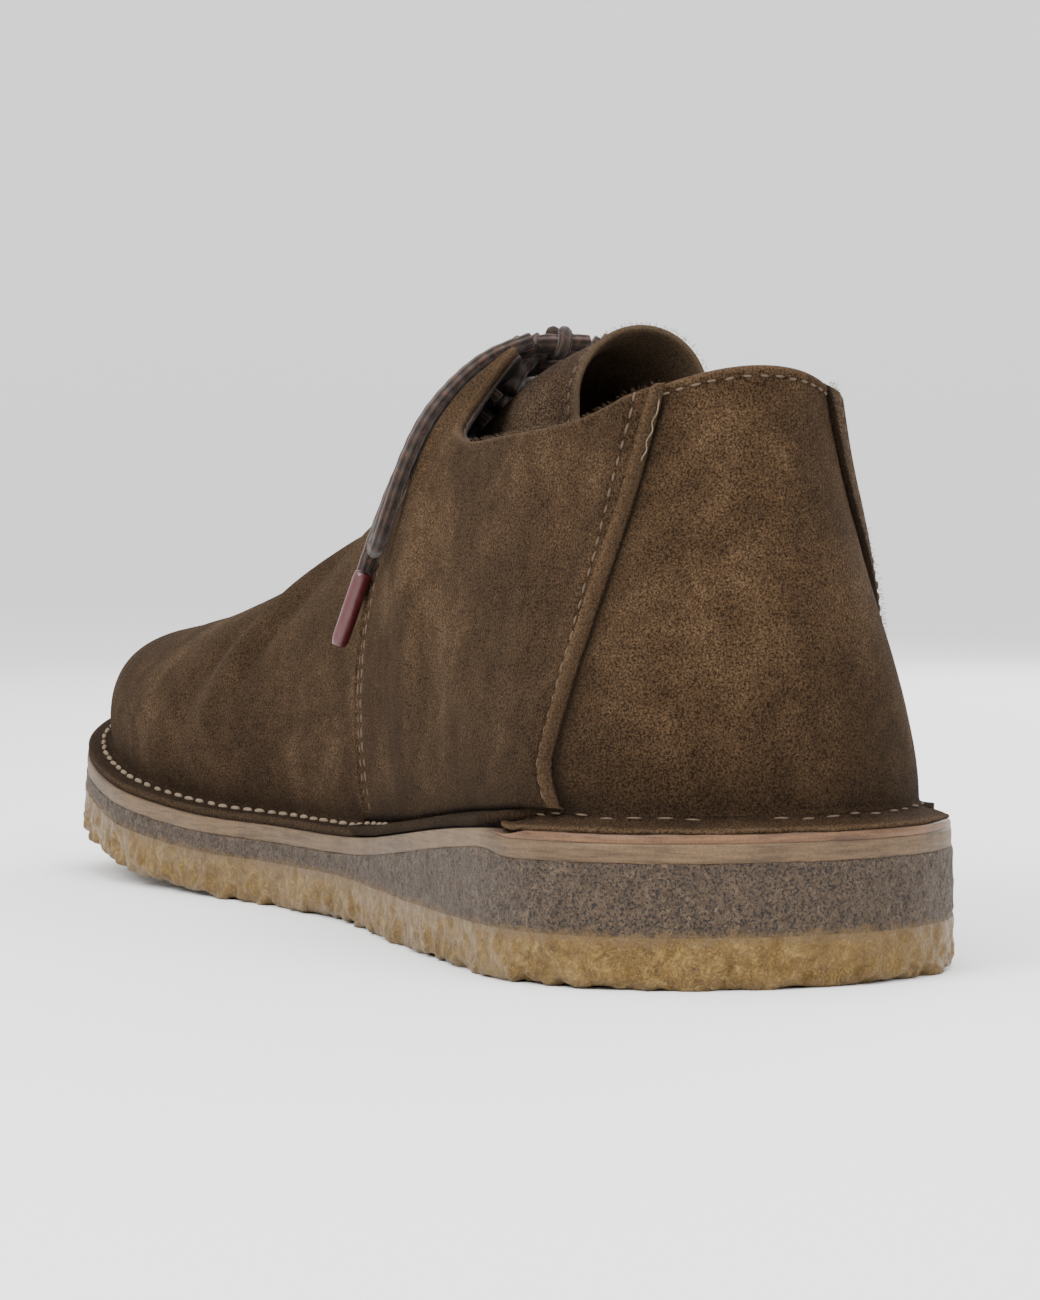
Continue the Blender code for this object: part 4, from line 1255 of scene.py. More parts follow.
@dataclass
class CrepeSole:
    """The two crepe layers: a lumpy natural sheet under a smoked wedge."""

    columns: int = 620
    ripple: float = 6.3
    ripple_height: float = 1.5
    border: float = 3.6
    lap: float = 0.15
    sheet_foot: Profile = ((0.3, 1.15), (0.6, 0.65), (1.1, 0.35), (1.8, 0.15))
    wedge_side: Profile = ((0.65, 0.0), (0.52, 0.02), (0.46, 0.06), (0.44, 0.13), (0.42, 0.22), (0.42, 0.31),
                           (0.42, 0.4), (0.42, 0.5), (0.42, 0.6), (0.42, 0.7), (0.42, 0.79), (0.42, 0.87),
                           (0.42, 0.94), (0.25, 1.0))

    def outline_push(self, points: Array, above: Array) -> Array:
        """Sideways push of the crepe's edge in millimetres, rougher near the floor.

        Args:
            points: Points of the side, shape (..., 3).
            above: Their heights above the tread.

        Returns:
            The push, shape (...).
        """
        low = 1 - ramp(above, 1.0, 6.5)
        clots, crumbs = mix(0.34, 0.8, low), mix(0.30, 0.55, low)
        return rough(points, (0.3, 9.0, 11), (clots, 3.4, 12), (crumbs, 1.8, 13)) - 0.15

    def make_sheet(self) -> Item:
        """The natural crepe sheet, with its rippled tread."""
        def level(share: float, over: float = 0.0) -> Callable:
            """Height a share of the way up the sheet."""
            return lambda s: FORM.tread(s) + share * (FORM.sheet + self.lap) + over

        side_rows = [(0.25, level(1.0)), *((0.2, level(share)) for share in np.linspace(0.93, 0.24, 11))]
        side_rows += [(inset, level(0.0, over)) for inset, over in self.sheet_foot]
        layer = Layer.lay(self.columns, side_rows, 92)
        points, above, on_side = layer.points, layer.above, layer.on_side
        out = layer.pushed(self.outline_push(points, above))
        drop = rough(points, (0.5, 2.6, 21), (0.4, 5.6, 22))
        out[..., 2] += drop * (1 - ramp(above, 1.2, 4.5)) * on_side
        plan = points[..., :2]
        bend = rough(plan, (2.6, 26.0, 31), (1.1, 7.0, 32))
        wave = 0.5 + 0.5 * np.cos(math.tau * (plan[..., 0] + 0.06 * plan[..., 1] + bend) / self.ripple)
        clot = 0.62 + 0.38 * lumps(plan, 4.2, 33)
        ripples = self.ripple_height * wave ** 0.8 * clot + 0.32 * lumps(plan, 1.7, 34)
        ripples = ripples + 0.25 * lumps(plan, 11.0, 35)
        rows = len(side_rows)
        half = np.linalg.norm(plan[:, rows] - plan[:, -rows - 1], axis=1)[:, None] / 2
        from_edge = np.minimum(half * (1 - np.abs(np.clip(layer.marks, -1, 1))),
                               np.minimum(plan[..., 0], FORM.length - plan[..., 0]))
        inside = ramp(from_edge, 0.4, self.border)
        under = self.ripple_height - np.clip(ripples, -0.2, self.ripple_height)
        under = mix(0.45 + 0.35 * lumps(plan, 2.6, 36) + 0.2 * lumps(plan, 1.2, 37), under, inside)
        out[..., 2] = np.where(on_side, out[..., 2], FORM.tread(plan[..., 0]) + np.maximum(under, 0.03))
        out[..., 2] = np.maximum(out[..., 2], 0.02)
        near = ramp(above, FORM.sheet - 2.4, FORM.sheet + 0.3) * on_side
        # Painted shade: the side darker just above the floor, the tread darker in its hollows.
        soil = np.where(on_side, 0.35 * (1 - ramp(above, 0.6, 2.4)), 0.14 * ramp(under, 0.7, 1.6))
        return wrap_sections("natural_crepe_sheet", out, NATURAL, {"near_other": near, "soil": soil})

    def make_wedge(self) -> Item:
        """The smoked crepe wedge between the sheet and the midsole."""
        def level(share: float) -> Callable:
            """Height a share of the way down the wedge."""
            return lambda s: mix(FORM.crepe_top(s) + self.lap, FORM.sheet_top(s) + self.lap, share)

        layer = Layer.lay(self.columns, [(inset, level(share)) for inset, share in self.wedge_side], 1)
        points, above = layer.points, layer.above
        push = rough(points, (0.2, 6.0, 41), (0.2, 2.0, 42), (0.12, 1.1, 43))
        push = mix(self.outline_push(points, above), push, ramp(above, FORM.sheet, FORM.sheet + 2.0))
        near = 1 - ramp(above, FORM.sheet - 0.3, FORM.sheet + 2.3)
        values = {"near_other": near, "soil": np.zeros_like(near)}
        return wrap_sections("smoked_crepe_wedge", layer.pushed(push), SMOKED, values)

    def build(self) -> None:
        """Make and dress both layers."""
        adopt(self.make_sheet(), "natural_crepe", "crepe_outsole")
        adopt(self.make_wedge(), "smoked_crepe", "crepe_wedge")


@dataclass
class Footbed:
    """The leather layers between crepe and foot: midsole, heel rand and insole."""

    columns: int = 420
    rand_steps: int = 150
    taper_start: float = 21.0

    def make_midsole(self) -> Item:
        """The midsole, with a pared and slightly wavy edge."""
        def level(share: float) -> Callable:
            """Height a share of the way down the midsole."""
            return lambda s: FORM.seat(s) - 0.05 - share * (FORM.midsole + FORM.gap + 0.1)

        side = ((0.75, 0.0), (0.56, 0.06), (0.5, 0.2), (0.48, 0.4), (0.5, 0.6), (0.52, 0.8),
                (0.56, 0.95), (0.65, 1.0))
        layer = Layer.lay(self.columns, [(inset, level(share)) for inset, share in side], 1)
        push = 0.16 * lumps(layer.points * np.array([1, 1, 0.2]), 12.0, 51)
        push += 0.08 * lumps(layer.points * np.array([1, 1, 0.4]), 3.0, 52)
        # Painted shade along the midsole's top edges, under the flange and rand.
        soil = np.zeros_like(push)
        soil[:, 0] = soil[:, -1] = 0.5
        return wrap_sections("midsole_edge", layer.pushed(push), MIDSOLE, {"soil": soil})

    def make_rand(self) -> Item:
        """The heel rand: a strip round the seat whose ends are skived away."""
        last = FORM.ring_at(FORM.rand_end)
        rings = np.linspace(-last, last, self.rand_steps)
        fade = mix(1.0, 0.12, ramp(FORM.station(rings), self.taper_start, FORM.rand_end - 1.0))
        profile = ((0.75, 0.0), (0.68, 0.1), (0.64, 0.35), (0.7, 0.64), (0.95, 0.74), (1.8, 0.8),
                   (3.2, 1.05), (5.4, 1.45), (6.6, 1.5), (FORM.rand_inner, 1.5), (FORM.rand_inner, 0.0))
        rows = []
        for inset, height in profile:
            plan = FORM.edge(rings, inset)
            wave = rough(plan, (0.1, 8.0, 61), (0.05, 2.5, 62))
            lift = wave * fade if height > 0.1 else -0.05
            rows.append(raised(plan, FORM.seat(plan[:, 0]) + height * FORM.rand * fade + lift))
        # Painted shade on the rand's top, under the heel flange, and along its lower edge on the midsole.
        soil = np.zeros((self.rand_steps, len(profile)))
        soil[:, 4:10] = 0.7
        soil[:, 0] = 0.5
        return closed_strip("heel_rand_strip", np.stack(rows, axis=1), RAND, {"soil": soil})

    def flange_level(self, ring: Array, inset: float, height: float) -> Array:
        """A line on the heel flange, which sinks under the quarter's own flange at its ends.

        Args:
            ring: Ring positions along it.
            inset: Distance in from the outline.
            height: Height above the seat.

        Returns:
            Points, shape (n, 3).
        """
        sunk = ramp(FORM.station(ring), self.taper_start, FORM.rand_end + 2.0)
        narrow = ramp(FORM.station(ring), FORM.rand_end - 5.0, FORM.rand_end + 8.0)
        plan = FORM.edge(ring, inset + 0.35 * sunk + 0.6 * np.maximum(6.4 - inset, 0.0) * narrow)
        sag = sunk * mix(0.75, 1.6, ramp(inset, 1.0, 6.0))
        wave = rough(plan, (0.12, 7.0, 63), (0.08, 2.2, 64))
        return raised(plan, FORM.seat(plan[:, 0]) + height - sag + wave)

    def make_heel_flange(self) -> Item:
        """The counter's turned-out suede edge, lying on the rand."""
        last = FORM.ring_at(FORM.rand_end + 12.0)
        rings = np.linspace(-last, last, self.rand_steps * 2)
        profile = ((1.15, 1.45), (1.8, 1.55), (3.2, 2.0), (5.4, 2.85), (6.4, 2.95), (6.4, 3.95),
                   (5.4, 3.8), (4.4, 3.2), (3.4, 2.75), (2.4, 2.45), (1.6, 2.35), (1.15, 2.2),
                   (0.95, 1.95), (0.97, 1.65))
        points = np.stack([self.flange_level(rings, *row) for row in profile], axis=1)
        frayed = rough(points, (0.16, 1.5, 65), (0.1, 0.7, 66)) * (np.arange(len(profile)) > 9)
        points[..., :2] += FORM.outward(rings)[:, None, :] * frayed[..., None]
        # Painted shade: the whole flange a little darker, and more so where it runs in under the wall.
        worn, soil = np.zeros(points.shape[:2]), np.full(points.shape[:2], 0.25)
        worn[:, 10:] = (0.15, 0.4, 0.5, 0.25)
        soil[:, 5:9] = (0.8, 0.75, 0.5, 0.35)
        return closed_strip("heel_flange", points, SUEDE, {"worn": worn, "soil": soil})

    def make_insole(self) -> Item:
        """The insole, dished a little under the heel and the ball of the foot."""
        rings, shares = np.linspace(0, 1, 180), np.linspace(0, 1, 40)
        inner, outer = (FORM.edge(rings * side, FORM.insole_inset + 0.9)[:, None, :] for side in (1, -1))
        plan = inner * (1 - shares)[:, None] + outer * shares[:, None]
        hollow = 4 * shares * (1 - shares)
        s = plan[..., 0]
        dish = 0.9 * bell(s, 45, 28) + 0.8 * bell(s, 215, 34)
        top = raised(plan, FORM.seat(s) + FORM.insole - dish * hollow + 0.12 * lumps(plan, 16.0, 71))
        rims = []
        for side in (1, -1):
            rim = []
            for extra, down in ((0.25, 0.35), (0.0, 1.2), (0.2, FORM.insole + 0.1)):
                edge = FORM.edge(rings * side, FORM.insole_inset + extra)
                rim.append(raised(edge, FORM.seat(edge[:, 0]) + FORM.insole - down))
            rims.append(rim)
        points = np.stack([*rims[0][::-1], *np.moveaxis(top, 1, 0), *rims[1]], axis=1)
        return wrap_sections("insole_sock", points, SOCK, {"soil": np.zeros(points.shape[:2])})

    def build(self) -> None:
        """Make and dress the pieces."""
        adopt(self.make_midsole(), "midsole_leather", "midsole")
        adopt(self.make_rand(), "rand_leather", "heel_rand")
        adopt(self.make_heel_flange(), "brown_suede")
        adopt(self.make_insole(), "insole_leather", "insole")


# ---------------------------------------------------------------- the upper


def profile_of(distance: Array, *knots: tuple[float, float]) -> Array:
    """Read a small profile of (distance, value) knots, level past its ends."""
    return np.interp(distance, [k[0] for k in knots], [k[1] for k in knots])


def relief(ring: Array, share: Array) -> Array:
    """Height of the listed creases and of the hide's own unevenness.

    Args:
        ring: Ring positions.
        share: Shares up the wall.

    Returns:
        Heights in millimetres.
    """
    points = FORM.skin(ring, share)
    height = rough(points, (0.34, 34.0, 81), (0.16, 12.0, 82), (0.05, 5.0, 83))
    for side, rows in CREASES.items():
        same = np.where(FORM.wrap(ring) * side.value > 0, 1.0, 0.0)
        for crease in (Crease(*row) for row in rows):
            angle = math.radians(crease.angle)
            ds, dz = points[..., 0] - crease.station, points[..., 2] - crease.height
            along = (ds * math.cos(angle) + dz * math.sin(angle)) / crease.length
            across = (-ds * math.sin(angle) + dz * math.cos(angle)) / crease.width
            height += same * crease.depth * np.exp(-along ** 2 - across ** 2)
    return height * ramp(share, 0.0, 0.12) * (1 - 0.85 * ramp(share, 0.93, 1.0))


def seam_stitch_distance(share: Array) -> Array:
    """Distance of the rear seam's stitch row from the quarter's edge."""
    return mix(1.7, 4.2, ramp(share, 0.05, 0.8))


def seam_ring(share: Array, side: Side) -> Array:
    """Ring positions of a quarter's rear edge.

    Low down it runs back on the inner side and forward on the outer one.

    Args:
        share: Shares up the wall.
        side: Side of the foot.

    Returns:
        Ring positions.
    """
    if side is Side.INNER:
        drift = 0.036 * (ramp(share, 0.15, 0.95) - 1) + 0.018 * (ramp(share, -0.05, 0.12) - 1)
    else:
        drift = 0.075 * (1 - ramp(share, 0.1, 0.75))
    return side.value * (FORM.ring_at(FORM.counter_seam) + drift)


@dataclass
class Upper:
    """The suede panels: counter, two quarters and vamp, and the lining inside them."""

    pitch: float = 1.35
    fine_pitch: float = 0.95
    rows: int = 50
    top: tuple[float, ...] = (0.0, 0.12, 0.4, 0.8, 1.25, 1.7, 2.0, 2.35, 3.0, 4.0, 5.4)
    foot: tuple[float, ...] = (-0.12, -0.28, -0.45, -0.62, -0.78, -0.9, -0.97, -1.0)
    edge: tuple[float, ...] = (0.0, 0.06, 0.22, 0.5, 0.9, 1.4, 2.0, 2.8, 3.6, 4.2, 4.8, 5.8)
    plain: tuple[float, ...] = (0.0, 1.5)
    cut: Profile = ((0, 0.12), (0.06, 0.6), (0.22, 0.95), (0.5, 1.16), (0.9, 1.3), (1.4, 1.3), (2.0, 1.08),
                    (2.8, 0.96), (3.6, 1.0))
    rolled: Profile = ((0, 0.3), (0.06, 0.85), (0.22, 1.3), (0.5, 1.62), (0.9, 1.74), (1.4, 1.5), (2.0, 0.9),
                       (2.8, 0.8), (3.6, 0.94), (4.8, 1.0))
    pared: Profile = ((0, 0.1), (0.06, 0.4), (0.22, 0.6), (0.9, 0.72), (2.0, 0.8), (4.2, 1.0))
    tuck: float = 9.0
    wide_tuck: float = 30.0
    hole: float = 4.4
    front_rows: tuple[float, float] = (2.2, 4.6)
    counter_foot: tuple[float, ...] = (-0.2, -0.45, -0.7, -0.9, -1.0)
    vamp_top: tuple[float, ...] = (0.0, 0.5, 1.2, 2.2, 3.6, 5.4)
    lining_top: tuple[float, ...] = (0.0, 0.2, 0.6, 1.4, 3.0, 5.4)

    def skins(self, grid: Grid, outer: Array, inner: Array) -> tuple[Array, Array]:
        """Outer and inner points at given lifts over the grid."""
        base, normal = FORM.skin(grid.ring, grid.share), FORM.normal(grid.ring, grid.share)
        bumps = relief(grid.ring, grid.share)
        return base + normal * (outer + bumps)[..., None], base + normal * (inner + bumps)[..., None]

    def soil(self, grid: Grid) -> Array:
        """Painted shade: darker in the crease over the welt, out on the flange and in soft patches low on
        the wall.
        """
        points = FORM.skin(grid.ring, grid.share)
        above = points[..., 2] - FORM.base_height(points[..., 0])
        # Painted shade, strongest where the wall meets the welt and fading up the wall.
        crease = 0.5 * np.exp(-(np.maximum(above, 0) / 5.0) ** 1.2)
        flange = 0.62 * ramp(-grid.share, 0.05, 0.5)
        flange = flange * ramp(FORM.station(grid.ring), FORM.rand_end, FORM.rand_end + 6)
        shade = 0.25 * (0.5 + 0.5 * lumps(points, 26.0, 91)) * (1 - ramp(above, 6.0, 30.0))
        return np.clip(np.maximum(crease, flange) + shade, 0, 0.9)

    def make_counter(self) -> Item:
        """The counter, round the heel, with its turned and stitched upper edge."""
        start = FORM.ring_at(FORM.counter_seam + self.wide_tuck, Side.OUTER)
        end = FORM.ring_at(FORM.counter_seam + self.tuck)
        grid = Grid.lay(start, end, self.top, self.rows, self.counter_foot, self.plain, self.fine_pitch)
        thickness = 1.0
        rim = profile_of(grid.below_top, (0, 0.35), (0.12, 0.72), (0.4, 0.93), (0.9, 1.0))
        roll = profile_of(grid.below_top, (0, 0), (0.4, 0.28), (1.0, 0.4), (1.6, 0.12), (1.95, -0.2),
                          (2.3, -0.02), (3.2, 0.0))
        inner = np.full_like(rim, -thickness) - 0.3 * ramp(-grid.share, 0.0, 1.0)
        front = seam_ring(grid.share, Side.INNER)
        seams = np.where(grid.ring < 0, seam_ring(grid.share, Side.OUTER), front)
        tucked = ramp(np.abs(grid.ring) - np.abs(seams), 0.002, 0.012)
        outer = -thickness + thickness * rim + roll - 0.25 * tucked
        # Painted shadow: a dark line on the counter just behind the inner quarter's edge, and a dark row
        # along the groove under the stitched top edge.
        seam = FORM.station(front) - FORM.station(grid.ring)
        line = 0.85 * bell(seam, 0.3, 1.0) + 0.3 * bell(np.maximum(seam, 0), 0.0, 4.0)
        line = line * (grid.ring > 0) * ramp(grid.below_top, 1.0, 4.0)
        row = 0.4 * bell(grid.below_top, 1.95, 0.4)
        values = {"worn": profile_of(grid.below_top, (0, 0.75), (0.7, 0.45), (1.4, 0.12), (2.0, 0.0)),
                  "soil": np.clip(self.soil(grid) + line + row, 0, 0.95)}
        return slab("counter_panel", *self.skins(grid, outer, inner), SUEDE, values)

    def make_quarter(self, side: Side) -> Item:
        """A quarter, laid over counter and vamp, with raw edges."""
        rear, front = FORM.ring_at(FORM.counter_seam, side), FORM.ring_at(FORM.vamp_seam, side)
        grid = Grid.lay(*sorted((rear, front)), self.top, self.rows, self.foot, self.edge, self.pitch)
        pull = 1 - ramp(np.abs(grid.ring - rear), 0.0, 0.24)
        grid.ring = grid.ring + (seam_ring(grid.share, side) - rear) * pull
        if side is Side.INNER:
            to_rear, to_front = grid.from_start, grid.from_end
            body = profile_of(to_rear * mix(1.6, 1.0, ramp(grid.share, 0.0, 0.6)), *self.rolled)
            shaded = 0.0
        else:
            to_rear, to_front = grid.from_end, grid.from_start
            body = profile_of(to_rear, *self.pared)
            # Painted shade on the outer quarter's rear edge.
            shaded = 0.9 * (1 - ramp(to_rear, 0.2, 1.8))
        body = body * profile_of(to_front, *self.cut)
        rim = profile_of(grid.below_top, (0, 0.55), (0.12, 0.8), (0.4, 0.95), (0.9, 1.0))
        foot = ramp(-grid.share, 0.0, 0.75)
        outer = 0.06 + mix(FORM.overlay, 0.35, foot) * body * rim
        sewn = rings_past(seam_ring(grid.share, side), grid.share, seam_stitch_distance(grid.share), side)
        stitch = np.linalg.norm(FORM.skin(grid.ring, grid.share) - FORM.skin(sewn, grid.share), axis=-1)
        on_wall = ramp(grid.share, 0.02, 0.1)
        outer -= 0.28 * bell(stitch, 0.0, 0.55) * on_wall
        for back in self.front_rows:
            outer -= 0.2 * bell(to_front, back, 0.5) * on_wall
        outer += 0.25 * bell(to_rear, 7.0, 2.4) * ramp(grid.share, 0.05, 0.2)
        inner = np.full_like(outer, 0.02) - 1.25 * foot
        inner -= profile_of(grid.below_top, (0, 0.25), (0.6, 0.0))
        worn = np.maximum(profile_of(to_rear, (0, 0.55), (0.9, 0.42), (1.6, 0.3), (2.4, 0.0)),
                          profile_of(to_front, (0, 0.5), (0.5, 0.3), (1.2, 0.0)))
        worn = np.maximum(worn, profile_of(grid.below_top, (0, 0.75), (0.4, 0.4), (1.1, 0.0)))
        if side is Side.OUTER:
            worn = worn * ramp(to_rear, 0.6, 2.5)
        corner = np.exp(-(to_rear / 2.5) ** 2 - (grid.below_top / 2.0) ** 2)
        outer = np.maximum(outer - 0.7 * corner, inner + 0.3)
        # Painted shade: the outer rear edge, the stitch groove and the dip behind the rolled rear edge are
        # darkened.
        row = shaded + 0.5 * bell(stitch, 0.0, 0.6) + 0.35 * bell(to_rear, 2.1, 0.6)
        soil = np.clip(self.soil(grid) + row * ramp(grid.share, 0.0, 0.06), 0, 0.95)
        values = {"worn": worn * (1 - foot), "soil": soil}
        panel = slab(f"quarter_{side.name.lower()}", *self.skins(grid, outer, inner), SUEDE, values)
        return self.punch(panel, side)

    def make_vamp(self) -> Item:
        """The vamp, from under the quarters over the toe."""
        start = FORM.ring_at(FORM.vamp_seam - self.tuck)
        grid = Grid.lay(start, 2 - start, self.vamp_top, self.rows - 4, self.foot, self.plain, self.pitch)
        crest = PROFILES.read("crest", FORM.station(grid.ring))
        opened = 1 - ramp(crest, FORM.throat_end - 1.2, FORM.throat_end)
        rim = profile_of(grid.below_top, (0, 0.35), (0.5, 0.9), (1.2, 1.0))
        tucked = ramp(FORM.vamp_seam - FORM.station(grid.ring), 1.0, 4.0)
        foot = ramp(-grid.share, 0.0, 0.75)
        outer = (mix(1.0, rim, opened) - 1.0) * 1.1 - 0.25 * tucked - 1.2 * foot * tucked
        inner = np.full_like(outer, -1.1) - 0.35 * foot
        worn = 0.6 * opened * (1 - ramp(grid.below_top, 0.0, 1.0)) + 0.22 * ramp(-grid.share, 0.93, 1.0)
        values = {"worn": worn, "soil": self.soil(grid)}
        return slab("vamp_panel", *self.skins(grid, outer, inner), SUEDE, values, ridge=opened[0] < 0.5)

    def make_lining(self) -> Item:
        """The lining behind counter and quarters."""
        end = FORM.ring_at(FORM.vamp_seam + 4.0)
        grid = Grid.lay(-end, end, self.lining_top, 30, (), self.plain, 2.2)
        s = FORM.station(grid.ring)
        tuck = np.where(grid.ring < 0, self.wide_tuck, self.tuck)
        between = ramp(s - tuck, FORM.counter_seam - 1, FORM.counter_seam + 5)
        between = between * (1 - ramp(s, FORM.vamp_seam - self.tuck - 5, FORM.vamp_seam - self.tuck + 1))
        rim = profile_of(grid.below_top, (0, 0.45), (0.2, 0.8), (0.6, 1.0))
        outer = mix(-1.03, 0.0, between)
        inner = outer - 0.97 * rim
        outer = outer - profile_of(grid.below_top, (0, 0.1), (0.4, 0.0))
        skins = self.skins(grid, outer, inner)
        item = slab("quarter_lining", *skins, LINING, {"soil": np.zeros_like(outer)})
        return self.punch(self.punch(item, Side.INNER), Side.OUTER)

    def punch(self, item: Item, side: Side) -> Item:
        """Cut the lace holes through a panel."""
        bm = bmesh.new()
        for station in FORM.hole_rows:
            centre, normal = FORM.wall_point(station, side, FORM.hole_back, 0.0)
            turn = Vector((0, 0, 1)).rotation_difference(Vector(normal)).to_matrix().to_4x4()
            place = Matrix.Translation(Vector(FORM.place(centre))) @ turn
            bmesh.ops.create_cone(bm, cap_ends=True, segments=24, radius1=self.hole / 2 * MM,
                                  radius2=self.hole / 2 * MM, depth=9 * MM, matrix=place)
        mesh = bpy.data.meshes.new("lace_hole_punch")
        bm.to_mesh(mesh)
        bm.free()
        punch = link(mesh, "lace_hole_punch")
        modifier = item.modifiers.new("holes", "BOOLEAN")
        modifier.operation = "DIFFERENCE"
        modifier.solver = "EXACT"
        modifier.object = punch
        made = baked(item, item.name)
        bpy.data.objects.remove(punch, do_unlink=True)
        return made

    def build(self) -> None:
        """Make and dress the panels."""
        panels = [self.make_counter(), *map(self.make_quarter, Side), self.make_vamp(), self.make_lining()]
        for panel in panels:
            adopt(panel, "brown_suede", "upper")


@dataclass
class Tongue:
    """The tongue: a bent suede sheet whose rounded end stands over the lace."""

    thickness: float = 2.0
    rim_thickness: float = 1.3
    sideways: float = -5.5
    columns: int = 60
    rows: int = 110
    sewn: float = 2.4
    end_rows: tuple[float, ...] = (88.2, 88.3, 88.6, 89.1, 89.8, 90.6)

    def surface(self, station: Array, turn: Array, depth: float | Array) -> Array:
        """Points of the tongue.

        Args:
            station: Stations along it.
            turn: Place across it, from -1 on the outer side to 1.
            depth: Depth under its outer face.

        Returns:
            Points, shape (..., 3).
        """
        lean = np.radians(TONGUE_ROWS.read("lean", station))
        radius = TONGUE_ROWS.read("radius", station)
        angle = np.radians(TONGUE_ROWS.read("half_angle", station)) * turn
        bent = np.clip(angle, -math.pi / 2, math.pi / 2)
        swing = self.sideways * ramp(-station, -108, -88)
        reach = radius - (radius - depth) * np.cos(bent) + radius * np.abs(angle - bent)
        return np.stack([station - np.sin(lean) * reach, swing + (radius - depth) * np.sin(bent),
                         TONGUE_ROWS.read("height", station) - np.cos(lean) * reach], axis=-1)

    def make(self) -> Item:
        """The tongue with rounded edges, a groove for its stitches and a soft twist."""
        stations = np.concatenate([self.end_rows, np.linspace(91.6, 170, self.rows - 6)])
        q = np.linspace(-1, 1, self.columns - 8)
        turns = np.concatenate([[-1, -0.995, -0.98, -0.96], q[1:-1] * 0.94, [0.96, 0.98, 0.995, 1]])
        station, turn = np.meshgrid(stations, turns, indexing="ij")
        radius = TONGUE_ROWS.read("radius", station)
        half = np.radians(TONGUE_ROWS.read("half_angle", station))
        to_side = (1 - np.abs(turn)) * half * radius
        to_end = (station - stations[0]) * 1.15
        inward = np.minimum(to_side, to_end)
        round_off = profile_of(inward, (0, 0.75), (0.15, 0.35), (0.4, 0.1), (0.8, 0.0))
        groove = 0.22 * bell(inward, self.sewn, 0.45)
        bumps = 0.2 * lumps(np.stack([station, turn * 20], axis=-1), 16.0, 95)
        outer = self.surface(station, turn, round_off * 0.9 + groove - bumps)
        depth = mix(self.rim_thickness, self.thickness, ramp(inward, 0.0, 5.0))
        inner = self.surface(station, turn, depth - round_off * 0.5 - bumps)
        # Painted shade: darker along the stitch groove and further down the tongue towards the throat.
        shadow = 0.45 * bell(inward, self.sewn, 0.5)
        values = {"worn": profile_of(inward, (0, 0.9), (0.5, 0.75), (1.2, 0.3), (2.0, 0.0)),
                  "soil": shadow + 0.35 * ramp(station, 104, 130)}
        inside = {"worn": profile_of(inward, (0, 0.9), (0.8, 0.65), (2.5, 0.5))}
        return slab("tongue_sheet", outer, inner, FLESH_SIDE, values, inside)

    def edge_line(self, inward: float, lift: float) -> Line:
        """A line on the outer face, parallel to the free edge."""
        tip = np.full(30, self.end_rows[0] + inward)
        stations = np.concatenate([np.linspace(128, 93, 30), tip, np.linspace(93, 128, 30)])
        radius = TONGUE_ROWS.read("radius", stations)
        half = np.radians(TONGUE_ROWS.read("half_angle", stations))
        limit = 1 - inward / (radius * half)
        turns = np.concatenate([-limit[:30], np.linspace(-1, 1, 30) * limit[30:60] * 0.96, limit[60:]])
        points = self.surface(stations, turns, -lift)
        return Line(points, unit(points - self.surface(stations, turns, 1.0)))

    def build(self) -> None:
        """Make and dress the tongue."""
        adopt(self.make(), "brown_suede", "tongue")


# ---------------------------------------------------------------- stitches and fibres
@dataclass
class Line:
    """A line on the shoe with the outward direction at each of its points."""

    points: Array
    away: Array


def wall_line(ring: Array, share: Array, lift: float | Array) -> Line:
    """A line on the upper, raised off its surface.

    Args:
        ring: Ring positions along it.
        share: Shares up the wall along it.
        lift: Height above the surface.

    Returns:
        The line.
    """
    ring, share = np.broadcast_arrays(np.asarray(ring, dtype=float), np.asarray(share, dtype=float))
    normal = FORM.normal(ring, share)
    height = np.asarray(lift) + relief(ring, share)
    return Line(FORM.skin(ring, share) + normal * height[..., None], normal)


def shares_below(ring: Array, down: float | Array) -> Array:
    """Shares up the wall a distance below its top."""
    return 1 - down / wall_height(ring)


def rings_past(ring: float | Array, share: Array, distance: Array, side: Side) -> Array:
    """Ring positions a distance forward of a column, measured on the surface."""
    step = 0.004 * side.value
    here = np.broadcast_to(ring, share.shape)
    speed = np.linalg.norm(FORM.skin(here + step, share) - FORM.skin(here, share), axis=-1) / abs(step)
    return here + side.value * distance / speed


@dataclass(frozen=True)
class Sizes:
    """Sizes in metres of what is set out along a line, and the seed of its random draws."""

    spacing: float
    length: float
    width: float
    wander: float
    seed: int


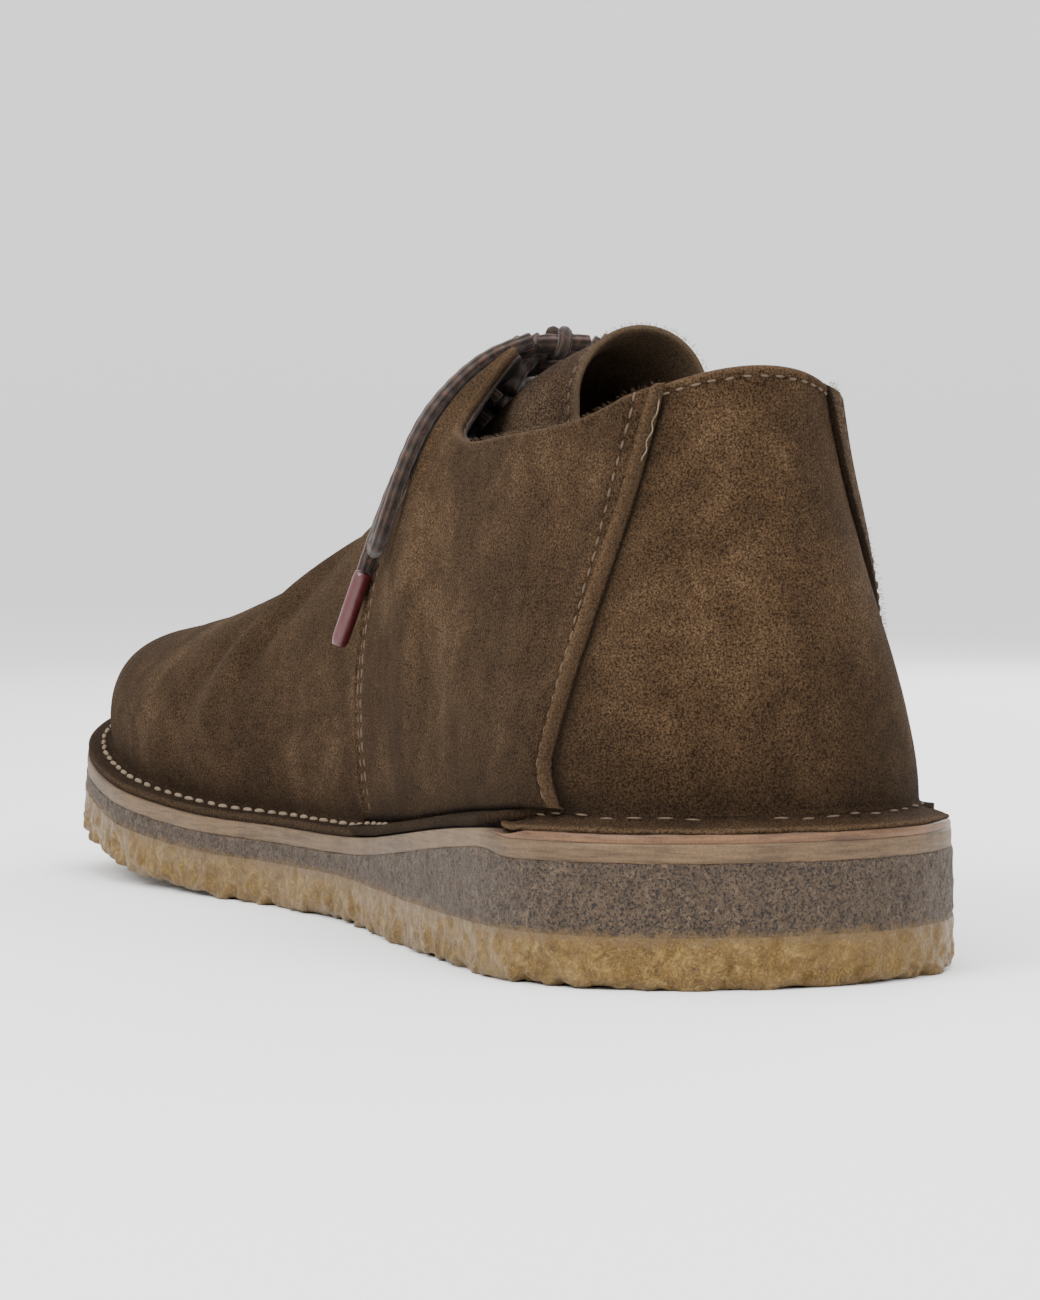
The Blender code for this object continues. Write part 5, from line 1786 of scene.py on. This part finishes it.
@dataclass(frozen=True)
class Sower:
    """Sets many small solids out along lines by a Geometry Nodes tree.

    Lying ones are stitches, along the line; the others are fibres, which stand off it.
    The shake turns each at random, and each length is between the shortest and longest
    share of the full one.
    """

    name: str
    lying: bool
    shake: float
    shortest: float
    longest: float

    @staticmethod
    def scatter(bench: Bench, low: float, high: float, seed: Socket, kind: str = "FLOAT") -> Socket:
        """A random number or vector for each point.

        Args:
            bench: The tree's bench.
            low: Lowest value.
            high: Highest value.
            seed: Seed.
            kind: FLOAT or FLOAT_VECTOR.

        Returns:
            The random value.
        """
        ends = {2: low, 3: high} if kind == "FLOAT" else {0: (low,) * 3, 1: (high,) * 3}
        node = bench.add("FunctionNodeRandomValue", ends | {"Seed": seed}, data_type=kind)
        return node.outputs[1 if kind == "FLOAT" else 0]

    @cached_property
    def tree(self) -> Tree:
        """The tree, from the lines to real geometry with its material."""
        tree = bpy.data.node_groups.new(self.name, "GeometryNodeTree")
        kinds = {"Geometry": "Geometry", "Spacing": "Float", "Length": "Float", "Width": "Float",
                 "Wander": "Float", "Seed": "Int", "Material": "Material"}
        for key, kind in kinds.items():
            tree.interface.new_socket(key, in_out="INPUT", socket_type="NodeSocket" + kind)
        tree.interface.new_socket("Geometry", in_out="OUTPUT", socket_type="NodeSocketGeometry")
        bench = Bench(tree)
        given = bench.add("NodeGroupInput").outputs
        seed = given["Seed"]
        curve = bench.add("GeometryNodeMeshToCurve", {0: given["Geometry"]}).outputs[0]
        points = bench.add("GeometryNodeCurveToPoints", {"Curve": curve, "Length": given["Spacing"]},
                           mode="LENGTH")
        stored = bench.add("GeometryNodeInputNamedAttribute", {"Name": "away"}, data_type="FLOAT_VECTOR")
        away = stored.outputs[0]
        shake = self.scatter(bench, -self.shake, self.shake, seed, "FLOAT_VECTOR")
        base = points.outputs["Tangent"] if self.lying else away
        heading = bench.add("ShaderNodeVectorMath", {0: base, 1: shake}, operation="ADD").outputs[0]
        if self.lying:
            upright = bench.add("FunctionNodeAlignRotationToVector", {"Vector": away}, axis="Z").outputs[0]
            turned = bench.add("FunctionNodeAlignRotationToVector", {"Rotation": upright, "Vector": heading},
                               axis="X", pivot_axis="Z")
            solid = bench.add("GeometryNodeMeshUVSphere", {"Segments": 6, "Rings": 6, "Radius": 0.5})
        else:
            turned = bench.add("FunctionNodeAlignRotationToVector", {"Vector": heading}, axis="Z")
            solid = bench.add("GeometryNodeMeshCone", {"Vertices": 3, "Radius Top": 0.0,
                                                       "Radius Bottom": 0.5, "Depth": 1.0})
        share = self.scatter(bench, self.shortest, self.longest, seed)
        length, width = bench.math("MULTIPLY", given["Length"], share), given["Width"]
        sizes = (length, width, width) if self.lying else (width, width, length)
        size = bench.add("ShaderNodeCombineXYZ", dict(enumerate(sizes)))
        drift = self.scatter(bench, -1.0, 1.0, seed, "FLOAT_VECTOR")
        wander = bench.add("ShaderNodeVectorMath", {0: drift, "Scale": given["Wander"]}, operation="SCALE")
        moved = bench.add("GeometryNodeSetPosition", {"Geometry": points.outputs["Points"],
                                                      "Offset": wander.outputs[0]})
        placed = bench.add("GeometryNodeInstanceOnPoints",
                           {"Points": moved.outputs[0], "Instance": solid.outputs["Mesh"],
                            "Rotation": turned.outputs[0], "Scale": size.outputs[0]})
        real = bench.add("GeometryNodeRealizeInstances", {0: placed.outputs[0]})
        dressed = bench.add("GeometryNodeSetMaterial",
                            {"Geometry": real.outputs[0], "Material": given["Material"]})
        bench.add("NodeGroupOutput", {0: dressed.outputs[0]})
        return tree

    def sow(self, name: str, lines: list[Line], finish: Finish, sizes: Sizes) -> None:
        """Run the tree over lines, and keep and dress the result as one plain mesh.

        Args:
            name: Name of the piece.
            lines: Lines to follow.
            finish: Finish of the solids.
            sizes: Their sizes.
        """
        points, edges = [], []
        for line in lines:
            first = sum(len(p) for p in points)
            points.append(FORM.place(line.points))
            edges += [(first + k, first + k + 1) for k in range(len(line.points) - 1)]
        mesh = bpy.data.meshes.new(name + " lines")
        mesh.from_pydata(np.concatenate(points).tolist(), edges, [])
        layer = mesh.attributes.new("away", "FLOAT_VECTOR", "POINT")
        away = np.concatenate([line.away for line in lines])
        layer.data.foreach_set("vector", away.astype(np.float32).ravel())
        item = link(mesh, name + " lines")
        modifier = item.modifiers.new("sow", "NODES")
        modifier.node_group = self.tree
        sockets = {s.name: s.identifier for s in self.tree.interface.items_tree if s.in_out == "INPUT"}
        for key, value in asdict(sizes).items():
            modifier[sockets[key.capitalize()]] = value
        modifier[sockets["Material"]] = finish.material
        made = baked(item, name)
        made.data.shade_smooth()
        adopt(made, "brown_suede")


STITCHES = Sower("stitch row", True, 0.12, 0.82, 1.1)
FIBRES = Sower("nap fringe", False, 0.9, 0.25, 1.25)


@dataclass
class Stitching:
    """Every row of stitches on the upper, the welt and the tongue."""

    footbed: Footbed
    tongue: Tongue
    welt_start: float = 112.0

    def quarter_rows(self) -> list[Line]:
        """Rows along the rear, front and facing edges of both quarters."""
        lines = []
        for side in Side:
            share = np.linspace(0.03, 0.985, 60)
            ring = rings_past(seam_ring(share, side), share, seam_stitch_distance(share), side)
            lines.append(wall_line(ring, share, FORM.overlay - 0.04))
            front = FORM.ring_at(FORM.vamp_seam, side)
            for back in Upper.front_rows:
                share = np.linspace(0.03, 0.97, 40)
                ring = rings_past(front, share, np.full_like(share, -back), side)
                lines.append(wall_line(ring, share, FORM.overlay - 0.1))
            ring = np.linspace(FORM.crest_ring(108.5, side), FORM.crest_ring(147.0, side), 30)
            lines.append(wall_line(ring, shares_below(ring, 2.6), FORM.overlay - 0.05))
        return lines

    def counter_row(self) -> Line:
        """The row that holds the counter's turned edge."""
        reach = FORM.ring_at(FORM.counter_seam - 0.4)
        ring = np.linspace(-reach, reach, 80)
        return wall_line(ring, shares_below(ring, 1.95), -0.05)

    def welt_row(self) -> Line:
        """The row that sews the turned-out edge to the midsole."""
        first = FORM.ring_at(self.welt_start)
        ring = np.linspace(first, 2 - first, 260)
        lift = np.where(FORM.station(ring) < FORM.vamp_seam, 0.4, 0.05)
        return wall_line(ring, np.full_like(ring, -0.62), lift)

    def base_row(self) -> Line:
        """Stitches that show on the heel flange."""
        reach = FORM.ring_at(FORM.rand_end + 2.0)
        ring = np.linspace(-reach, reach, 160)
        points = self.footbed.flange_level(ring, 4.75, 3.5)
        points[:, 2] += 0.3 * lumps(points, 9.0, 67)
        return Line(points, unit(raised(FORM.outward(ring) * 0.5, np.ones(len(ring)))))

    def build(self) -> None:
        """Sew the rows."""
        STITCHES.sow("seam_stitches", [*self.quarter_rows(), self.counter_row()], SEAM_THREAD,
                     Sizes(0.0026, 0.0019, 0.00052, 0.00008, 3))
        STITCHES.sow("welt_stitches", [self.welt_row()], WELT_THREAD,
                     Sizes(0.0046, 0.0035, 0.00105, 0.00008, 5))
        STITCHES.sow("heel_base_stitches", [self.base_row()], SEAM_THREAD,
                     Sizes(0.0045, 0.0026, 0.0004, 0.0004, 7))
        STITCHES.sow("tongue_stitches", [self.tongue.edge_line(self.tongue.sewn, -0.05)], SEAM_THREAD,
                     Sizes(0.0024, 0.0019, 0.0005, 0.00004, 9))


@dataclass
class NapFringe:
    """Loose fibres along the cut edges, and a pulled thread beside the rear seam."""

    tongue: Tongue

    def lines(self) -> list[Line]:
        """The cut edges: topline, seams and tongue."""
        lines = []
        share = np.linspace(0.02, 0.99, 80)
        for side in Side:
            rear, front = FORM.ring_at(FORM.counter_seam, side), FORM.ring_at(FORM.vamp_seam, side)
            lines += [wall_line(np.linspace(rear, front, 160), 0.998, FORM.overlay * 0.6),
                      wall_line(seam_ring(share, side), share, FORM.overlay - 0.2),
                      wall_line(front, share, FORM.overlay - 0.3)]
        return [*lines, self.tongue.edge_line(0.25, 0.0)]

    def pulled_thread(self) -> Item:
        """A pale end of thread that hangs beside the rear seam."""
        down = np.linspace(3.0, 13.4, 60)
        rear = FORM.ring_at(FORM.counter_seam)
        share = 1 - (1 - shares_below(np.full_like(down, rear), 1.0)) * down
        sweep = -0.3 - 0.22 * np.sin(down * 1.7) - 0.3 * ramp(down, 6.0, 13.0)
        ring = rings_past(rear, share, sweep, Side.INNER)
        line = wall_line(ring, share, 0.85 + 0.3 * np.sin(down * 1.1) ** 2)
        return tube("pulled_thread", line.points, 0.13, WELT_THREAD, sides=6)

    def build(self) -> None:
        """Grow the fibres and lay the thread."""
        FIBRES.sow("nap_fringe", self.lines(), NAP_FIBRE, Sizes(0.00014, 0.0009, 0.00009, 0.0004, 11))
        adopt(self.pulled_thread(), "brown_suede")


# ---------------------------------------------------------------- the lace
@dataclass
class Lacing:
    """The lace: a bar, two crossings, the knot, two loops and two ends."""

    thick: float = 2.9
    spare: float = 1.0
    knot_station: float = 115.0
    knot_half: float = 5.0
    knot_radius: float = 2.9
    tip_thick: float = 3.3
    tip_length: float = 14.0
    braid: float = 0.05
    easing: int = 120

    def over(self, station: float, side: Side, down: float, lift: float | None = None) -> Array:
        """A place of the cord's middle over a quarter."""
        height = FORM.overlay + self.thick / 2 + self.spare if lift is None else lift
        return FORM.wall_point(station, side, down, height)[0]

    def rim(self, station: float, side: Side, lift: float, apart: float) -> Array:
        """A place of the cord's middle just inside the facing's edge."""
        point = FORM.wall_point(station, side, 0.0, lift)[0]
        return point - np.array([0.0, side.value * (self.thick / 2 + apart), 0.0])

    def cord(self, name: str, path: Array, half: float | Array | None = None) -> Item:
        """Braided lace through a path, of the usual thickness unless half of it is given."""
        return tube(name, path, self.thick / 2 if half is None else half, LACE, sides=20, braid=self.braid)

    def lay(self, name: str, route: Sequence, node: str, half: float | None = None) -> None:
        """Lay a fixed piece of lace along a route and dress it."""
        adopt(self.cord(name, along_curve(route, CORD_STEP), half), "lace", node)

    def make_bar(self) -> None:
        """The straight bar through the lowest holes."""
        low = FORM.hole_rows[0]
        back = FORM.hole_back
        inner, outer = ([self.over(low, side, back, -3.2), self.over(low, side, back, 0.6),
                         self.over(low, side, back - 1.4), self.over(low, side, 1.0)] for side in Side)
        middle = sum(self.over(low, side, 0.0) for side in Side) / 2 + np.array([0, 0, 0.5])
        self.lay("lace_straight_bar", [*inner, middle, *outer[::-1]], "lace_bar")

    def centre(self, start: float, end: float, lift: float) -> Array:
        """Where a strand passes over the middle of the throat."""
        rims = [self.rim((start + end) / 2, side, 0.8, 1.0) for side in Side]
        return sum(rims) / 2 + np.array([0, 0, lift])

    def make_crossings(self) -> None:
        """The crossings under and over the facings."""
        low, middle, high = FORM.hole_rows
        back = FORM.hole_back
        for side, word, up in ((Side.INNER, "first", 0.0), (Side.OUTER, "second", 2.6)):
            other = Side(-side.value)
            start, end = low - 3, middle + 1
            route = [self.over(start, side, 3.0, -2.6), self.rim(start, side, 0.8, 0.95),
                     self.centre(start, end, 1.6 + up), self.rim(end, other, 0.8, 0.95),
                     self.over(end - 1, other, 3.0, -2.6)]
            self.lay(f"lace_low_crossing_{word}", route, "lace_cross_low")
            start, end = middle, high + 4
            route = [self.over(start, side, back, -3.0), self.over(start, side, back, 1.2),
                     self.over(start, side, back - 1.8), self.over(start - 1, side, 0.5),
                     self.centre(start, end, 2.4 + up), self.rim(end, other, 1.4, 1.5),
                     self.over(end - 1, other, 3.0, -2.6)]
            self.lay(f"lace_high_crossing_{word}", route, "lace_cross_high")

    def knot_place(self) -> Array:
        """The knot's middle."""
        inner, outer = (FORM.wall_point(self.knot_station, side, 0.0, FORM.overlay)[0] for side in Side)
        return (inner + outer) / 2 + np.array([0.0, 0.0, self.knot_radius])

    def make_knot(self) -> None:
        """The knot: a core, a turn of lace round it and the two strands that feed it."""
        knot = self.knot_place()
        places = self.knot_half * np.array([-1, -0.6, 0, 0.6, 1])
        path = along_curve([knot + np.array([0.0, place, 0.0]) for place in places], CORD_STEP)
        bulge = np.interp(path[:, 1] - knot[1], places, [1.5, 1.75, 1.5, 1.75, 1.5])
        adopt(self.cord("lace_knot_core", path, bulge), "lace", "lace_knot")
        turns = np.linspace(-0.35, 1.25, 60) * math.tau
        reach = self.knot_radius - 1.1
        wrap = [knot + np.array([reach * math.cos(a), (k / 59 - 0.5) * 3.4, reach * math.sin(a)])
                for k, a in enumerate(turns)]
        self.lay("lace_knot_turn", wrap, "lace_knot", 1.3)
        high, back = FORM.hole_rows[2], FORM.hole_back
        for side in Side:
            route = [self.over(high, side, back, -3.0), self.over(high, side, back, 1.0),
                     self.over(high + 0.6, side, back - 2.0, 3.4), self.over(high + 0.6, side, 1.5, 3.6),
                     knot + np.array([0.8, side.value * 1.5, -0.4])]
            self.lay(f"lace_knot_strand_{side.name.lower()}", route, "lace_knot", self.thick / 2 - 0.1)

    def make_bow(self) -> None:
        """The loops and the ends with their tips."""
        knot = self.knot_place()
        apart = self.thick / 2 + FORM.gap
        lift = FORM.overlay + apart + 0.2
        for side in Side:
            word = side.name.lower()
            loop, end = ([FORM.wall_point(station, side, down, lift)[0] for station, down in route]
                         for route in (LOOP_ROUTE, END_ROUTE))
            beside = knot + np.array([0.0, side.value * (self.knot_half + apart), 0.0])
            loop = [beside + np.array([-2.5, 0, 0.4]), *loop, beside + np.array([1.5, 0.6, 0.2])]
            self.lay_free(f"lace_bow_loop_{word}", loop, "knot", f"lace_loop_{word}")
            heading = unit(end[-1] - end[-2])
            start = end[-1] + heading * FORM.gap
            path = start + heading * np.linspace(0, self.tip_length, 24)[:, None]
            along = np.linspace(0, 1, 24)
            widths = np.interp(along, [0, 0.06, 0.9, 1], [1.5, self.tip_thick / 2, 1.58, 1.25])
            tip = tube(f"lace_tip_{word}", path, widths, TIP, sides=24)
            adopt(tip, "lace_tip", f"aglet_{word}")
            end = [knot + np.array([self.knot_radius + apart, side.value * 2.5, 0.8]), *end]
            self.lay_free(f"lace_bow_end_{word}", end, "fitting", f"lace_end_{word}", tip)

    def lay_free(self, name: str, route: Sequence, far_end: str, node: str, *pieces: Item) -> None:
        """Args:
            name: Name of the piece.
            route: Points it runs through, in shoe millimetres.
            far_end: What its far end is; not used.
            node: The solid it stands for.
            *pieces: Separate pieces on it; not used.
        """
        path = along_curve(route, CORD_STEP)
        for _ in range(self.easing):
            path[1:-1] = (path[:-2] + 2 * path[1:-1] + path[2:]) / 4
        item = self.cord(name, path)
        adopt(item, "lace", node)
        line = FORM.place(path[np.linspace(0, len(path) - 1, len(path) // 6).round().astype(int)])
        FORM.place(path[0]).tolist()

    def build(self) -> None:
        """Lace the shoe."""
        self.make_bar()
        self.make_crossings()
        self.make_knot()
        self.make_bow()


# ---------------------------------------------------------------- the studio
@dataclass
class Studio:
    """Camera, pale floor and soft light."""

    eye: tuple[float, float, float] = (-683.9, 269.4, 80.6)
    aim: tuple[float, float, float] = (148.7, -2.7, 48.0)
    lens: float = 163.0
    roll: float = -0.2
    floor_colour: Colour = (0.93, 0.93, 0.93)
    world_strength: float = 0.85
    sides: int = 64
    sweep: Profile = ((0.6, 0.0), (1.2, 0.0), (1.5, 0.02), (1.75, 0.1), (1.95, 0.3), (2.05, 0.7), (2.1, 1.6))

    def make_camera(self) -> None:
        """Point a long lens at the shoe from behind, a little to the inner side."""
        data = bpy.data.cameras.new("camera")
        data.sensor_fit = "HORIZONTAL"
        data.sensor_width = 36.0
        data.lens = self.lens
        data.clip_start = 0.05
        data.clip_end = 20.0
        camera = link(data, "camera")
        eye, aim = Vector(FORM.place(self.eye)), Vector(FORM.place(self.aim))
        turn = (aim - eye).to_track_quat("-Z", "Y").to_matrix().to_4x4()
        lean = Matrix.Rotation(math.radians(self.roll), 4, "Z")
        camera.matrix_world = Matrix.Translation(eye) @ turn @ lean
        bpy.context.scene.camera = camera

    def make_floor(self) -> None:
        """A floor that curves up into a backdrop all round."""
        bm = bmesh.new()
        centre = bm.verts.new((0, 0, 0))
        angles = np.linspace(0, math.tau, self.sides + 1)[:-1]
        loops = [[bm.verts.new((radius * math.cos(a), radius * math.sin(a), height)) for a in angles]
                 for radius, height in self.sweep]
        for k in range(self.sides):
            m = (k + 1) % self.sides
            bm.faces.new((centre, loops[0][k], loops[0][m]))
            for low, high in zip(loops, loops[1:]):
                bm.faces.new((low[k], high[k], high[m], low[m]))
        mesh = bpy.data.meshes.new("studio floor")
        bm.to_mesh(mesh)
        bm.free()
        mesh.materials.append(Blank("floor paint", Base_Color=self.floor_colour, Roughness=0.85).material)
        mesh.shade_smooth()
        link(mesh, "studio floor")

    def add_light(self, name: str, place: tuple[float, float, float], size: float, power: float) -> None:
        """A square soft light that faces the shoe."""
        data = bpy.data.lights.new(name, "AREA")
        data.shape = "SQUARE"
        data.size = size
        data.energy = power
        light = link(data, name)
        light.location = place
        light.rotation_euler = (Vector((0, 0, 0.04)) - Vector(place)).to_track_quat("-Z", "Y").to_euler()

    def make_light(self) -> None:
        """A bright room, a key light from the inner side, a light overhead and two behind."""
        world = bpy.data.worlds.new("bright room")
        world.use_nodes = True
        background = world.node_tree.nodes["Background"]
        background.inputs["Color"].default_value = (1.0, 1.0, 1.0, 1.0)
        background.inputs["Strength"].default_value = self.world_strength
        bpy.context.scene.world = world
        self.add_light("key light", (-0.5, 0.85, 0.8), 0.6, 15.0)
        self.add_light("overhead light", (0.0, 0.0, 1.2), 1.0, 17.0)
        self.add_light("rear fill", (-0.95, -0.35, 0.55), 0.8, 6.0)
        self.add_light("edge light", (0.75, -0.7, 0.5), 0.6, 7.0)

    def build(self) -> None:
        """Set the studio up."""
        self.make_camera()
        self.make_floor()
        self.make_light()


def main() -> None:
    """Build the shoe piece by piece."""
    logging.basicConfig(level=logging.INFO, format="%(message)s")
    footbed, tongue = Footbed(), Tongue()
    sewing = Stitching(footbed, tongue), NapFringe(tongue)
    for part in (CrepeSole(), footbed, Upper(), tongue, *sewing, Lacing(), Studio()):
        part.build()


if __name__ == "__main__":
    main()
